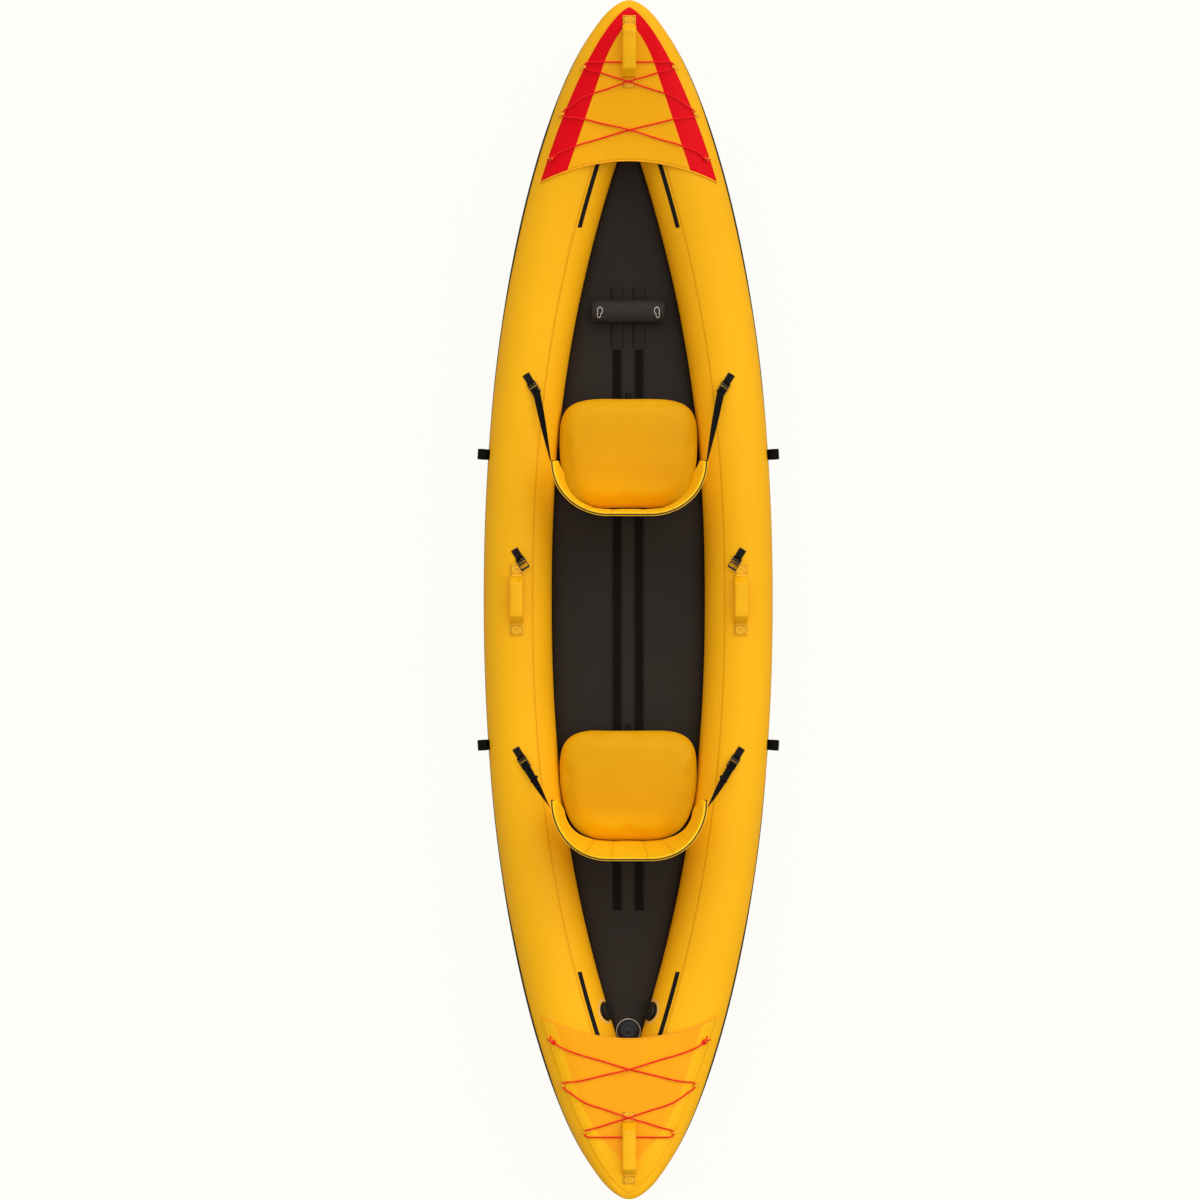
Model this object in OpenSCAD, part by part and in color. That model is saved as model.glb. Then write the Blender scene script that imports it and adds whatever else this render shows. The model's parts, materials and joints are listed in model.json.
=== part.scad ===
// Tandem inflatable kayak with zipped tube covers, two seats, a footrest and three fins.
// Frame: +X starboard, +Y bow, +Z up, Z = 0 at the fin tips, X = Y = 0 amidships.

/* [Hull] */
// Length from tip to tip
hull_l = 3790; // [3500:10:4000]
// Beam over the side tubes amidships
beam = 944; // [900:2:980]
// Clear width between the side tubes amidships
cockpit_w = 498; // [480:2:520]
// Distance from a tip to where the side tubes part
cockpit_in = 375; // [360:5:400]
// Height of a side tube
tube_h = 228; // [216:2:240]
// How far the tips lie above the middle
tip_rise = 250; // [200:5:280]
// Height of the hull's bottom above the fin tips amidships
keel_z = 106; // [90:1:130]

/* [Fabric] */
// Thickness of a tube cover
cover_t = 1.6; // [1.2:0.1:2]
// Thickness of the bottom skin
skin_t = 2; // [1.5:0.1:3]
// Width of the seam tape round the hull
tape_w = 46; // [36:1:56]
// Thickness of the seam tape
tape_t = 1.6; // [1:0.1:2.5]
// Gap between layers that lie on each other
lay = 0.3; // [0.2:0.05:0.4]

/* [Floor] */
// Thickness of the floor chamber
floor_t = 90; // [80:1:98]
// Gap between the floor and the tubes
floor_gap = 0.8; // [0.5:0.1:2]
// Radius of the floor's edges
floor_r = 34; // [20:1:38]

/* [Decks] */
// Width of the tube's rim outside a deck's tip
deck_rim = 27; // [22:1:40]
// Width of the tube's rim beside the deck's outline law amidships
deck_side = 6; // [3:1:12]
// Length of a deck from its tip to its corners
deck_l = 529; // [515:2:560]
// Depth of the hollow in a deck's inner edge
deck_hollow = 63; // [50:1:80]
// Thickness of a deck
deck_t = 2; // [1.5:0.1:3]
// Clearance under a deck
deck_gap = 1.2; // [1:0.1:2]

/* [Seats] */
// Centre of the front cushion
front_seat_y = 476; // [440:2:520]
// Centre of the rear cushion
rear_seat_y = -601; // [-641:2:-561]
// Depth of a cushion
seat_d = 354; // [320:2:360]
// Width of a cushion
seat_w = 450; // [430:2:456]
// Height of a cushion
seat_h = 98; // [80:1:104]
// Gap between a cushion and the tubes
seat_gap = 1.5; // [1:0.5:6]
// Height of a backrest's rim above the floor
back_rim = 369; // [330:1:400]
// Height of a backrest's lower edge above the floor
back_foot = 40; // [30:1:60]
// Width of a backrest across its wings
back_w = 498; // [484:2:510]
// How far a backrest's wings reach forward
back_depth = 157; // [140:1:175]
// Width of the flat middle of a backrest
back_flat = 130; // [110:2:180]
// Thickness of a backrest at its middle
back_t = 18; // [14:1:22]
// Lean of a backrest at rest, in degrees
back_lean = 3.5; // [2:0.5:6]
// How far the wings end below the rim
wing_drop = 96; // [80:2:110]
// How far the wings flare from their lower edge to the rim
wing_flare = 28; // [16:1:34]

/* [Footrest] */
// Middle of the footrest
footrest_y = 941; // [910:1:960]
// Width of the footrest
footrest_w = 237; // [210:1:250]
// Depth of the footrest
footrest_d = 73; // [60:1:80]
// Height of the footrest
footrest_h = 56; // [45:1:70]
// Width of a footrest tape
footrest_tape_w = 42; // [38:1:46]
// Length of a footrest tape
footrest_tape_l = 196; // [170:2:200]
// Middle of the footrest tapes
footrest_tape_y = 921; // [918:1:924]

/* [Webbing] */
// Thickness of the webbing
web_t = 2; // [1.5:0.1:2.5]
// Width of a floor strap
floor_strap_w = 31; // [25:1:38]
// Distance of a floor strap from the middle line
floor_strap_x = 36; // [34:1:40]
// Front end of the floor straps
floor_strap_front = 817; // [805:1:820]
// Rear end of the floor straps
floor_strap_rear = -1014; // [-1040:1:-1000]
// Width of a seat strap and its anchor tab
seat_strap_w = 24; // [20:1:25]
// Length of an anchor tab
tab_l = 32; // [28:1:40]

/* [Handles] */
// Length of a side handle over its patches
side_handle_l = 228; // [210:2:250]
// Length of an end handle over its patches
end_handle_l = 218; // [206:2:222]
// Distance of an end handle's middle from the tip
end_handle_in = 163; // [161:1:165]
// Length of a side handle's sewn patch
side_patch_l = 34; // [26:1:38]
// Length of an end handle's sewn patch
end_patch_l = 25; // [20:1:28]
// Width of the handle webbing inside its grip
handle_web_w = 32; // [28:1:36]
// Width of a handle's sewn patch
handle_patch_w = 41; // [38:1:44]
// Width of a padded grip
grip_w = 43; // [40:1:48]
// Thickness of a padded grip
grip_t = 15; // [12:0.5:18]
// Room for the fingers under a grip
grip_room = 28; // [24:1:36]

/* [Paddle loops] */
// Distance of the loops from the middle
loop_y = 472; // [440:2:500]
// Bore of a loop
loop_bore = 32; // [30:0.5:34]
// Width of the loop's webbing
loop_w = 33; // [28:1:36]

/* [Fins] */
// Distance of the front fin base ahead of the middle
front_fin_y = 791; // [770:1:810]
// Distance of the rear fin bases behind the middle
rear_fin_y = 1005; // [990:1:1020]
// Distance of a rear fin base from the middle line
rear_fin_x = 133; // [125:1:145]
// Length of a fin base
fin_base_l = 262; // [250:1:280]
// Width of a fin base
fin_base_w = 126; // [120:1:140]
// Length of a fin track
fin_track_l = 212; // [204:1:220]
// Width of a fin track
fin_track_w = 82; // [76:1:90]
// Height of a fin track over its plate
fin_track_h = 11; // [10:0.5:14]
// Thickness of a fin base's plate
fin_plate_t = 3.5; // [3:0.5:5]
// Width of the slide on a fin's root
fin_slide_w = 60; // [50:1:64]
// Length of the slide on a fin's root
fin_slide_l = 168; // [150:1:180]
// Thickness of the slide on a fin's root
fin_slide_t = 4.5; // [3.5:0.1:5]
// Thickness of a fin's blade
fin_t = 7; // [5:0.5:9]

/* [Valves] */
// Distance of the tube valves from the stern's tip
tube_valve_in = 566; // [560:1:572]
// Distance of the floor valve from the stern's tip
floor_valve_in = 496; // [492:1:506]
// Radius of a valve's flange
valve_r = 31; // [29:0.5:32]
// Radius of a valve's mouth
valve_mouth_r = 11.5; // [10:0.5:12]
// Travel of a valve's plunger
plunger_travel = 6; // [4:0.5:7]

/* [Cords] */
// Diameter of a deck cord
cord_d = 4.6; // [4:0.1:5]

/* [Hidden] */
$fn = 48;

YELLOW = [0.96, 0.69, 0.08];
ORANGE = [0.96, 0.64, 0.12];
RED = [0.88, 0.06, 0.12];
FLOOR_GREY = [0.19, 0.16, 0.14];
BLACK = [0.09, 0.09, 0.1];
CHARCOAL = [0.21, 0.2, 0.2];
SKIN_BLACK = [0.14, 0.14, 0.14];
BLADDER_GREY = [0.7, 0.72, 0.74];

half_l = hull_l / 2;
cockpit_l = hull_l - 2 * cockpit_in;
deck_tip = half_l - deck_rim;
deck_half = beam / 2 - deck_side;
deck_corner = deck_tip - deck_l;
end_handle_y = half_l - end_handle_in;
tube_valve_y = half_l - tube_valve_in;
floor_valve_y = half_l - floor_valve_in;
tip_t = 0.9995;
rings = 34;
angle_step = 18;
seam_angle = -18;
seam_gap = 2;
cover_end_angle = 234;
tube_gap = 0.2;
bladder_end = 0.984;
bladder_in = max(cover_t, skin_t) + lay;

// Hull surface: plan law, sheer law and tube sections
function part_of(y) = min(abs(y) / half_l, tip_t);
function outer_x(y) = beam / 2 * pow(1 - pow(part_of(y), 2.1), 0.59);
function inner_x(y) = max(tube_gap, cockpit_w / 2 * (1 - pow(abs(y) / (cockpit_l / 2), 2.25)));
function tube_x(y) = (outer_x(y) + inner_x(y)) / 2;
function tube_a(y) = (outer_x(y) - inner_x(y)) / 2;
function tube_b(y) = tube_h / 2 * sqrt(1 - pow(part_of(y), 8));
function tube_z(y) = keel_z + tube_h / 2 + tip_rise * pow(part_of(y), 4.5);
function bottom_z(y) = tube_z(y) - tube_b(y);
function top_z(y) = tube_z(y) + tube_b(y);
function tube_point(y, ang, off) =
  [tube_x(y) + (tube_a(y) + off) * cos(ang), y, tube_z(y) + (tube_b(y) + off) * sin(ang)];
stations = [for (i = [0 : rings]) half_l * tip_t * sin(180 * i / rings - 90)];

// Point, normal and frame on the flat facet that holds a place of the starboard tube
function cell_y(y) = max([for (i = [0 : rings - 1]) if (stations[i] <= y) i]);
function mix(a, b, u) = a + (b - a) * u;
function unit(v) = v / norm(v);
function facet_point(y, ang, off = 0) =
  let (
    i = cell_y(y),
    u = (y - stations[i]) / (stations[i + 1] - stations[i]),
    k = floor(ang / angle_step) * angle_step,
    v = (ang - k) / angle_step,
    low = mix(tube_point(stations[i], k, off), tube_point(stations[i + 1], k, off), u),
    next = k + angle_step,
    high = mix(tube_point(stations[i], next, off), tube_point(stations[i + 1], next, off), u)
  ) mix(low, high, v);
function facet_normal(y, ang) =
  let (
    i = cell_y(y),
    k = floor(ang / angle_step) * angle_step,
    d1 = tube_point(stations[i + 1], k + angle_step, 0) - tube_point(stations[i], k, 0),
    d2 = tube_point(stations[i], k + angle_step, 0) - tube_point(stations[i + 1], k, 0)
  ) unit(cross(d1, d2));
// Columns along, across and out of the facet; turn swings the first column from the bow towards the inside
function facet_frame(y, ang, turn) =
  let (
    n = facet_normal(y, ang),
    bow = unit([0, 1, 0] - n * n[1]),
    inward = cross(n, bow),
    along = bow * cos(turn) + inward * sin(turn)
  ) [along, cross(n, along), n];
// Height of the bottom's facets at a place, and the frame that lies along them
function bottom_line(y) =
  let (i = cell_y(y), u = (y - stations[i]) / (stations[i + 1] - stations[i]))
  mix(bottom_z(stations[i]), bottom_z(stations[i + 1]), u);
function slope_frame(y) =
  let (i = cell_y(y), rise = bottom_z(stations[i + 1]) - bottom_z(stations[i]))
  let (d = unit([0, stations[i + 1] - stations[i], rise]))
  [[1, 0, 0], d, cross([1, 0, 0], d)];
module in_frame(f, p) {
  multmatrix([
    [f[0][0], f[1][0], f[2][0], p[0]],
    [f[0][1], f[1][1], f[2][1], p[1]],
    [f[0][2], f[1][2], f[2][2], p[2]]
  ]) children();
}
module port() {
  mirror([1, 0, 0]) children();
}

// Closed solid through rings of equal point counts, ends closed flat
module loft(ring_list) {
  n = len(ring_list[0]);
  m = len(ring_list);
  sides = [for (i = [0 : m - 2], j = [0 : n - 1], h = [0, 1])
    let (a = i * n + j, b = i * n + (j + 1) % n)
    h == 0 ? [a, b, b + n] : [a, b + n, a + n]];
  first = [for (j = [1 : n - 2]) [0, j + 1, j]];
  last = [for (j = [1 : n - 2]) [(m - 1) * n, (m - 1) * n + j, (m - 1) * n + j + 1]];
  polyhedron([for (r = ring_list) each r], concat(sides, first, last));
}
// Closed tube wall between outer rings and inner rings
module loft_wall(outer, inner) {
  n = len(outer[0]);
  m = len(outer);
  k = n * m;
  walls = [for (i = [0 : m - 2], j = [0 : n - 1], h = [0 : 3])
    let (a = i * n + j, b = i * n + (j + 1) % n)
    h == 0 ? [a, b, b + n] : h == 1 ? [a, b + n, a + n]
    : h == 2 ? [k + a, k + b + n, k + b] : [k + a, k + a + n, k + b + n]];
  ends = [for (i = [0, m - 1], j = [0 : n - 1], h = [0, 1])
    let (a = i * n + j, b = i * n + (j + 1) % n, up = i == 0)
    h == 0 ? (up ? [a, k + a, k + b] : [a, k + b, k + a]) : (up ? [a, k + b, b] : [a, b, k + b])];
  polyhedron(concat([for (r = outer) each r], [for (r = inner) each r]), concat(walls, ends));
}
// Closed sheet between two grids of rows, the first grid on the side that the rows turn to
// The columns before flip take the other diagonal, so that a mirrored sheet has mirrored facets
module sheet(front, back, flip = 0) {
  n = len(front[0]);
  m = len(front);
  k = n * m;
  faces = [for (i = [0 : m - 2], j = [0 : n - 2], h = [0 : 3])
    let (a = i * n + j, b = a + 1, c = a + n + 1, d = a + n, s = k)
    j < flip
    ? (h == 0 ? [a, b, d] : h == 1 ? [b, c, d] : h == 2 ? [s + a, s + d, s + b] : [s + b, s + d, s + c])
    : (h == 0 ? [a, b, c] : h == 1 ? [a, c, d] : h == 2 ? [s + a, s + c, s + b] : [s + a, s + d, s + c])];
  rims = [for (i = [0 : m - 2], e = [0, n - 1], h = [0, 1])
    let (a = i * n + e, b = a + n)
    e == 0 ? (h == 0 ? [a, b, k + b] : [a, k + b, k + a]) : (h == 0 ? [a, k + b, b] : [a, k + a, k + b])];
  ends = [for (j = [0 : n - 2], e = [0, m - 1], h = [0, 1])
    let (a = e * n + j, b = a + 1)
    e == 0 ? (h == 0 ? [a, k + b, b] : [a, k + a, k + b]) : (h == 0 ? [a, b, k + b] : [a, k + b, k + a])];
  polyhedron(concat([for (r = front) each r], [for (r = back) each r]), concat(faces, rims, ends));
}
module rounded_plate(w, l, r, t) {
  linear_extrude(t) {
    square([w - 2 * r, l], center = true);
    square([w, l - 2 * r], center = true);
    for (sx = [-1, 1], sy = [-1, 1])
      translate([sx * (w / 2 - r), sy * (l / 2 - r)])
        circle(r);
  }
}

// Side tubes: an air bladder inside a zipped cover, and the bottom skin that closes the covers below
valve_ang = 160;
valve_seat = 4;
function rows_between(y0, y1) = concat([y0], [for (y = stations) if (y > y0 + 1 && y < y1 - 1) y], [y1]);
module tube_valve_place() {
  y = -tube_valve_y;
  in_frame(facet_frame(y, valve_ang, 0), facet_point(y, valve_ang)) children();
}
module valve_pocket() {
  translate([0, 0, -valve_seat])
    cylinder(h = 2 * valve_r, r = valve_r + lay);
  translate([0, 0, -throat_depth - plunger_travel - 3])
    cylinder(h = throat_depth + plunger_travel, r = throat_r + 1);
}
module tube_bladder() {
  color(BLADDER_GREY)
    difference() {
      loft([for (y = stations) if (abs(y) < bladder_end * half_l)
        [for (a = [0 : angle_step : 359]) tube_point(y, a, -bladder_in)]]);
      tube_valve_place() valve_pocket();
    }
}
module tube_cover() {
  angles = [for (a = [seam_angle : angle_step : cover_end_angle]) a == seam_angle ? a + seam_gap : a];
  color(YELLOW)
    difference() {
      sheet([for (y = stations) [for (a = angles) facet_point(y, a)]],
        [for (y = stations) [for (a = angles) facet_point(y, a, -cover_t)]]);
      tube_valve_place() valve_pocket();
    }
}
module port_bladder() {
  port() tube_bladder();
}
module starboard_bladder() {
  tube_bladder();
}
module port_tube_cover() {
  port() tube_cover();
}
module starboard_tube_cover() {
  tube_cover();
}
function across(p) = [-p[0], p[1], p[2]];
function skin_row(y, off) =
  let (half = [for (a = [-90 : angle_step : seam_angle]) tube_point(y, a, off)])
  concat([for (i = [len(half) - 1 : -1 : 0]) across(half[i])], [[0, y, bottom_z(y) - off]], half);
module hull_skin() {
  color(SKIN_BLACK)
    sheet([for (y = stations) skin_row(y, 0)], [for (y = stations) skin_row(y, -skin_t)],
      (seam_angle + 90) / angle_step + 1);
}
module seam_tape() {
  reach = tape_w / tube_h * 180 / PI;
  angles = [seam_angle - reach, seam_angle, seam_angle + reach];
  color(BLACK)
    sheet([for (y = stations) [for (a = angles) facet_point(y, a, 2 * lay + tape_t)]],
      [for (y = stations) [for (a = angles) facet_point(y, a, 2 * lay)]]);
}
module port_seam_tape() {
  port() seam_tape();
}
module starboard_seam_tape() {
  seam_tape();
}

// Floor chamber between the tubes
floor_end = cockpit_l / 2 * 0.96;
function floor_z(y) = bottom_line(y) + skin_t + lay;
function floor_top(y) = floor_z(y) + floor_t;
function floor_edge(y) = min(floor_r, inner_x(y) * 0.4);
function floor_half(y) = inner_x(y) + tube_a(y) * 0.08 * floor_edge(y) / floor_r - floor_gap;
function floor_ring(y) =
  let (r = floor_edge(y), hw = floor_half(y) - r, hh = floor_t / 2 - r, zm = floor_z(y) + floor_t / 2)
  [for (q = [0 : 3], k = [0 : 3])
    let (a = -90 + 90 * q + 30 * k)
    [(q < 2 ? hw : -hw) + r * cos(a), y, zm + (q == 1 || q == 2 ? hh : -hh) + r * sin(a)]];
module floor_valve_place() {
  f = slope_frame(-floor_valve_y);
  in_frame([f[1], -f[0], f[2]], [0, -floor_valve_y, floor_top(-floor_valve_y)]) children();
}
module floor_chamber() {
  color(FLOOR_GREY)
    difference() {
      loft([for (y = rows_between(-floor_end, floor_end)) floor_ring(y)]);
      floor_valve_place() valve_pocket();
    }
}

// Flat webbing laid on the floor
module floor_web(x, w, y0, y1, low) {
  loft([for (y = rows_between(y0, y1))
    let (z = floor_top(y) + low)
    [[x + w / 2, y, z], [x + w / 2, y, z + web_t], [x - w / 2, y, z + web_t], [x - w / 2, y, z]]]);
}
module floor_straps() {
  color(BLACK)
    for (side = [-1, 1])
      floor_web(side * floor_strap_x, floor_strap_w, floor_strap_rear, floor_strap_front, lay);
}
module footrest_tapes() {
  y0 = footrest_tape_y - footrest_tape_l / 2;
  y1 = footrest_tape_y + footrest_tape_l / 2;
  color(BLACK)
    for (side = [-1, 1])
      floor_web(side * floor_strap_x, footrest_tape_w, y0, y1, lay);
}
module footrest_roll() {
  hx = footrest_w / 2;
  spread = [-1, -0.985, -0.95, -0.88, -0.75, -0.4, 0, 0.4, 0.75, 0.88, 0.95, 0.985, 1];
  base = web_t + 3 * lay;
  color(CHARCOAL)
    in_frame(slope_frame(footrest_y), [0, footrest_y, floor_top(footrest_y)])
      loft([for (s = spread)
        let (k = 0.72 + 0.28 * pow(1 - pow(abs(s), 8), 0.4))
        [for (a = [0 : 18 : 359])
          [s * hx, -k * footrest_d / 2 * cos(a),
            base + max(0, footrest_h * (0.42 + 0.58 * k * sin(a) + 0.1 * (k - 1)))]]]);
}

// Decks sewn over the tubes at both ends
function deck_w(y) = deck_half * pow(1 - pow(min(y / deck_tip, tip_t), 2.1), 0.72);
function over_tubes(x, y) =
  let (d = (abs(x) - tube_x(y)) / tube_a(y))
  d <= 0 ? top_z(y) : tube_z(y) + tube_b(y) * sqrt(max(0, 1 - d * d));
function deck_top(x, y) = over_tubes(x, y) + deck_gap + deck_t;
deck_columns = [1, 0.93, 0.86, 0.78, 0.7, 0.6, 0.45, 0.22, 0];
deck_rows = 11;
function deck_row(i, up) =
  let (both = concat(deck_columns, [for (k = [len(deck_columns) - 2 : -1 : 0]) -deck_columns[k]]))
  [for (v = both)
    let (
      y = mix(deck_corner + deck_hollow * (1 - v * v), deck_tip, tip_t * sin(90 * i / deck_rows)),
      x = v * deck_w(y)
    ) [x, y, over_tubes(x, y) + up]];
module deck() {
  color(ORANGE)
    sheet([for (i = [0 : deck_rows]) deck_row(i, deck_gap + deck_t)],
      [for (i = [0 : deck_rows]) deck_row(i, deck_gap)]);
}
module bow_deck() {
  deck();
}
module stern_deck() {
  mirror([0, 1, 0]) deck();
}

// Elastic cord laced through six loops on each deck: place across, distance from the tip, height
cord_r = cord_d / 2;
cord_gap = 1.3;
loop_gap = 1.3;
cord_course = [
  [-254, 468, 3.4], [-247, 462, 3.4], [-225, 447, 2.6], [-180, 428, 1.4], [-90, 399, 0], [0, 373, 0],
  [80, 354.5, 0], [150, 338.5, 1.6], [184, 332.5, 2.8], [204, 329, 3.8], [212, 325.5, 3.8], [212, 317.5, 3.8],
  [205, 311, 3.8], [190, 300, 2.8], [140, 271, 1], [70, 248.5, 0], [24, 234.5, 2.5], [0, 226.8, 2.5],
  [-24, 219.8, 2.5], [-50, 212, 1], [-97, 197.5, 1], [-122, 190.3, 2.4], [-137, 185.8, 3.4],
  [-141, 182.3, 3.4], [-141, 175.3, 3.4], [-135, 170.8, 3.4], [-100, 168.2, 1], [-50, 167.6, 0], [0, 167.6, 0]
];
cord_half = [for (p = cord_course) [p[0], deck_tip - p[1], p[2]]];
cross_lift = cord_d + 1.5;
function hump(x) = cross_lift * pow(max(0, 1 - pow(x / 60, 2)), 2);
cord_route = concat(cord_half,
  [for (i = [len(cord_half) - 2 : -1 : 0])
    let (p = cord_half[i])
    [-p[0], p[1], p[2] + (p[1] < deck_tip - 190 ? hump(p[0]) : 0)]]);
function cord_point(p) = [p[0], p[1], deck_top(p[0], p[1]) + cord_gap + cord_r + p[2]];
function cord_dir(pts, i) = unit(pts[min(i + 1, len(pts) - 1)] - pts[max(i - 1, 0)]);
module deck_cord() {
  pts = [for (p = cord_route) cord_point(p)];
  color(RED)
    loft([for (i = [0 : len(pts) - 1])
      let (t = cord_dir(pts, i), side = unit(cross(t, [0, 0, 1])), up = cross(side, t))
      [for (a = [0 : 45 : 359]) pts[i] + cord_r * (side * cos(a) + up * sin(a))]]);
}
module bow_cord() {
  deck_cord();
}
module stern_cord() {
  mirror([0, 1, 0]) deck_cord();
}
module cord_loop(a, b) {
  p = cord_point(a);
  q = cord_point(b);
  axis = unit(q - p);
  side = unit(cross(axis, [0, 0, 1]));
  in_frame([side, cross(axis, side), axis], (p + q) / 2)
    difference() {
      cylinder(h = 6, r = cord_r + loop_gap + web_t * 0.8, center = true);
      cylinder(h = 9, r = cord_r + loop_gap, center = true);
    }
}
module deck_cord_loops() {
  color(YELLOW)
    for (i = [0, 10, 23])
      for (side = [0, 1])
        mirror([side, 0, 0]) cord_loop(cord_half[i], cord_half[i + 1]);
}
module bow_cord_loops() {
  deck_cord_loops();
}
module stern_cord_loops() {
  mirror([0, 1, 0]) deck_cord_loops();
}

// Carrying handles: webbing that rises from two sewn patches, with a padded grip round it
handle_web_t = 2.5;
handle_ramp = 30;
grip_end = 5;
ramp_parts = [0, grip_end / handle_ramp, 0.35, 0.6, 1];
function ease(u) = let (c = min(1, max(0, u))) c * c * (3 - 2 * c);
function handle_lift(s, l, patch) = (grip_room + grip_t / 2) * ease((l / 2 - patch - abs(s)) / handle_ramp);
function handle_steps(l, patch) =
  let (e = l / 2, f = e - patch)
  concat([-e], [for (k = ramp_parts) -f + k * handle_ramp], [0],
    [for (i = [len(ramp_parts) - 1 : -1 : 0]) f - ramp_parts[i] * handle_ramp], [e]);
function grip_steps(l, patch) = [for (s = concat(
    [-l / 2 + patch + grip_end], handle_steps(l, patch), [l / 2 - patch - grip_end]))
  if (abs(s) <= l / 2 - patch - grip_end) s];
function end_base(s) = deck_top(0, end_handle_y + s) + 2 * lay;
function side_base(s) = facet_point(s, 90)[2] + lay;
module handle_web(l, patch, x, y, bases) {
  s = handle_steps(l, patch);
  color(YELLOW)
    loft([for (i = [0 : len(s) - 1])
      let (
        z = bases[i] + handle_lift(s[i], l, patch),
        w = (abs(s[i]) > l / 2 - patch - 0.1 ? handle_patch_w : handle_web_w) / 2
      )
      [[x + w, y + s[i], z], [x + w, y + s[i], z + handle_web_t],
        [x - w, y + s[i], z + handle_web_t], [x - w, y + s[i], z]]]);
}
function oval(x, y, z, w, t, n) = [for (a = [15 : 30 : 359])
  let (c = cos(a), s = sin(a))
  [x + w / 2 * sign(c) * pow(abs(c), 2 / n), y, z + t / 2 * sign(s) * pow(abs(s), 2 / n)]];
module handle_grip(l, patch, x, y, bases) {
  s = grip_steps(l, patch);
  ups = [for (v = s) handle_lift(v, l, patch) + handle_web_t / 2];
  zs = [for (i = [0 : len(s) - 1]) bases[i] + ups[i]];
  color(YELLOW)
    loft_wall([for (i = [0 : len(s) - 1])
        oval(x, y + s[i], zs[i], grip_w, min(grip_t, 2 * ups[i] - 0.8), 2.6)],
      [for (i = [0 : len(s) - 1]) oval(x, y + s[i], zs[i], handle_web_w + 2, handle_web_t + 1.6, 8)]);
}
side_l = side_handle_l;
end_l = end_handle_l;
module bow_handle_webbing() {
  handle_web(end_l, end_patch_l, 0, end_handle_y, [for (s = handle_steps(end_l, end_patch_l)) end_base(s)]);
}
module bow_handle_grip() {
  handle_grip(end_l, end_patch_l, 0, end_handle_y, [for (s = grip_steps(end_l, end_patch_l)) end_base(s)]);
}
module stern_handle_webbing() {
  mirror([0, 1, 0]) bow_handle_webbing();
}
module stern_handle_grip() {
  mirror([0, 1, 0]) bow_handle_grip();
}
module starboard_handle_webbing() {
  handle_web(side_l, side_patch_l, tube_x(0), 0, [for (s = handle_steps(side_l, side_patch_l)) side_base(s)]);
}
module starboard_handle_grip() {
  handle_grip(side_l, side_patch_l, tube_x(0), 0, [for (s = grip_steps(side_l, side_patch_l)) side_base(s)]);
}
module port_handle_webbing() {
  port() starboard_handle_webbing();
}
module port_handle_grip() {
  port() starboard_handle_grip();
}

// Zips along the inner shoulders of the covers, running under the decks
zip_ang = 125;
zip_w = 14;
zip_y = [deck_corner - 143, deck_corner + 102];
zip_t = 1.2;
coil_t = 1;
module zip_pair() {
  reach = zip_w / tube_h * 180 / PI;
  angles = [zip_ang - reach, zip_ang - reach * 0.35, zip_ang - reach * 0.2,
    zip_ang + reach * 0.2, zip_ang + reach * 0.35, zip_ang + reach];
  ups = [0, 0, coil_t, coil_t, 0, 0];
  rows = rows_between(zip_y[0], zip_y[1]);
  color(BLACK)
    for (side = [0, 1])
      mirror([side, 0, 0])
        sheet([for (y = rows) [for (j = [0 : 5]) facet_point(y, angles[j], lay + zip_t + ups[j])]],
          [for (y = rows) [for (a = angles) facet_point(y, a, lay)]]);
}
module bow_zips() {
  zip_pair();
}
module stern_zips() {
  mirror([0, 1, 0]) zip_pair();
}

// Seats: a crowned cushion on the floor and a winged backrest hinged at its lower edge
cushion_profile = [
  [0, 0.09], [0.12, 0.03], [0.35, 0], [0.62, 0],
  [0.8, 0.045], [0.91, 0.13], [0.975, 0.32], [1, 0.62]
];
cushion_points = 36;
front_power = 4;
rear_power = 2.8;
rear_taper = 0.13;
function round_power(c, n) = sign(c) * pow(abs(c), 2 / n);
function cushion_base(yc) =
  max(floor_top(yc - seat_d / 2), floor_top(yc + seat_d / 2)) + web_t + 2 * lay;
function shoulder(yc, z) =
  let (d = max(0, z - tube_z(yc)) / tube_b(yc))
  tube_a(yc) * (1 - sqrt(1 - min(d, 1) * min(d, 1)));
function cushion_half(y, z) = min(seat_w / 2, inner_x(y) - seat_gap + 0.9 * shoulder(y, z));
module cushion(yc) {
  color(YELLOW)
    loft([for (p = cushion_profile)
      let (z = cushion_base(yc) + p[0] * seat_h, k = 1 - p[1])
      [for (i = [0 : cushion_points - 1])
        let (
          a = -360 * i / cushion_points,
          n = sin(a) > 0 ? front_power : rear_power,
          v = round_power(sin(a), n),
          u = round_power(cos(a), n) * (1 - rear_taper * max(0, -v)),
          y = yc + k * seat_d / 2 * v
        ) [k * cushion_half(y, z) * u, y, z]]]);
}
module front_seat_cushion() {
  cushion(front_seat_y);
}
module rear_seat_cushion() {
  cushion(rear_seat_y);
}
module seat_valve(yc) {
  color(BLACK)
    translate([0, yc + seat_d / 2 + lay, cushion_base(yc) + 0.45 * seat_h])
      rotate([-90, 0, 0]) {
        cylinder(h = 3, r = 13);
        cylinder(h = 18, r = 9.5);
      }
}
module front_seat_valve() {
  seat_valve(front_seat_y);
}
module rear_seat_valve() {
  seat_valve(rear_seat_y);
}

back_gap = 2;
back_seams = [57, 138];
edge_t = 12;
function back_y(yc) = yc - seat_d / 2 - back_gap - back_t / 2;
function hinge_z(yc) = floor_top(back_y(yc)) + back_foot;
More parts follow.
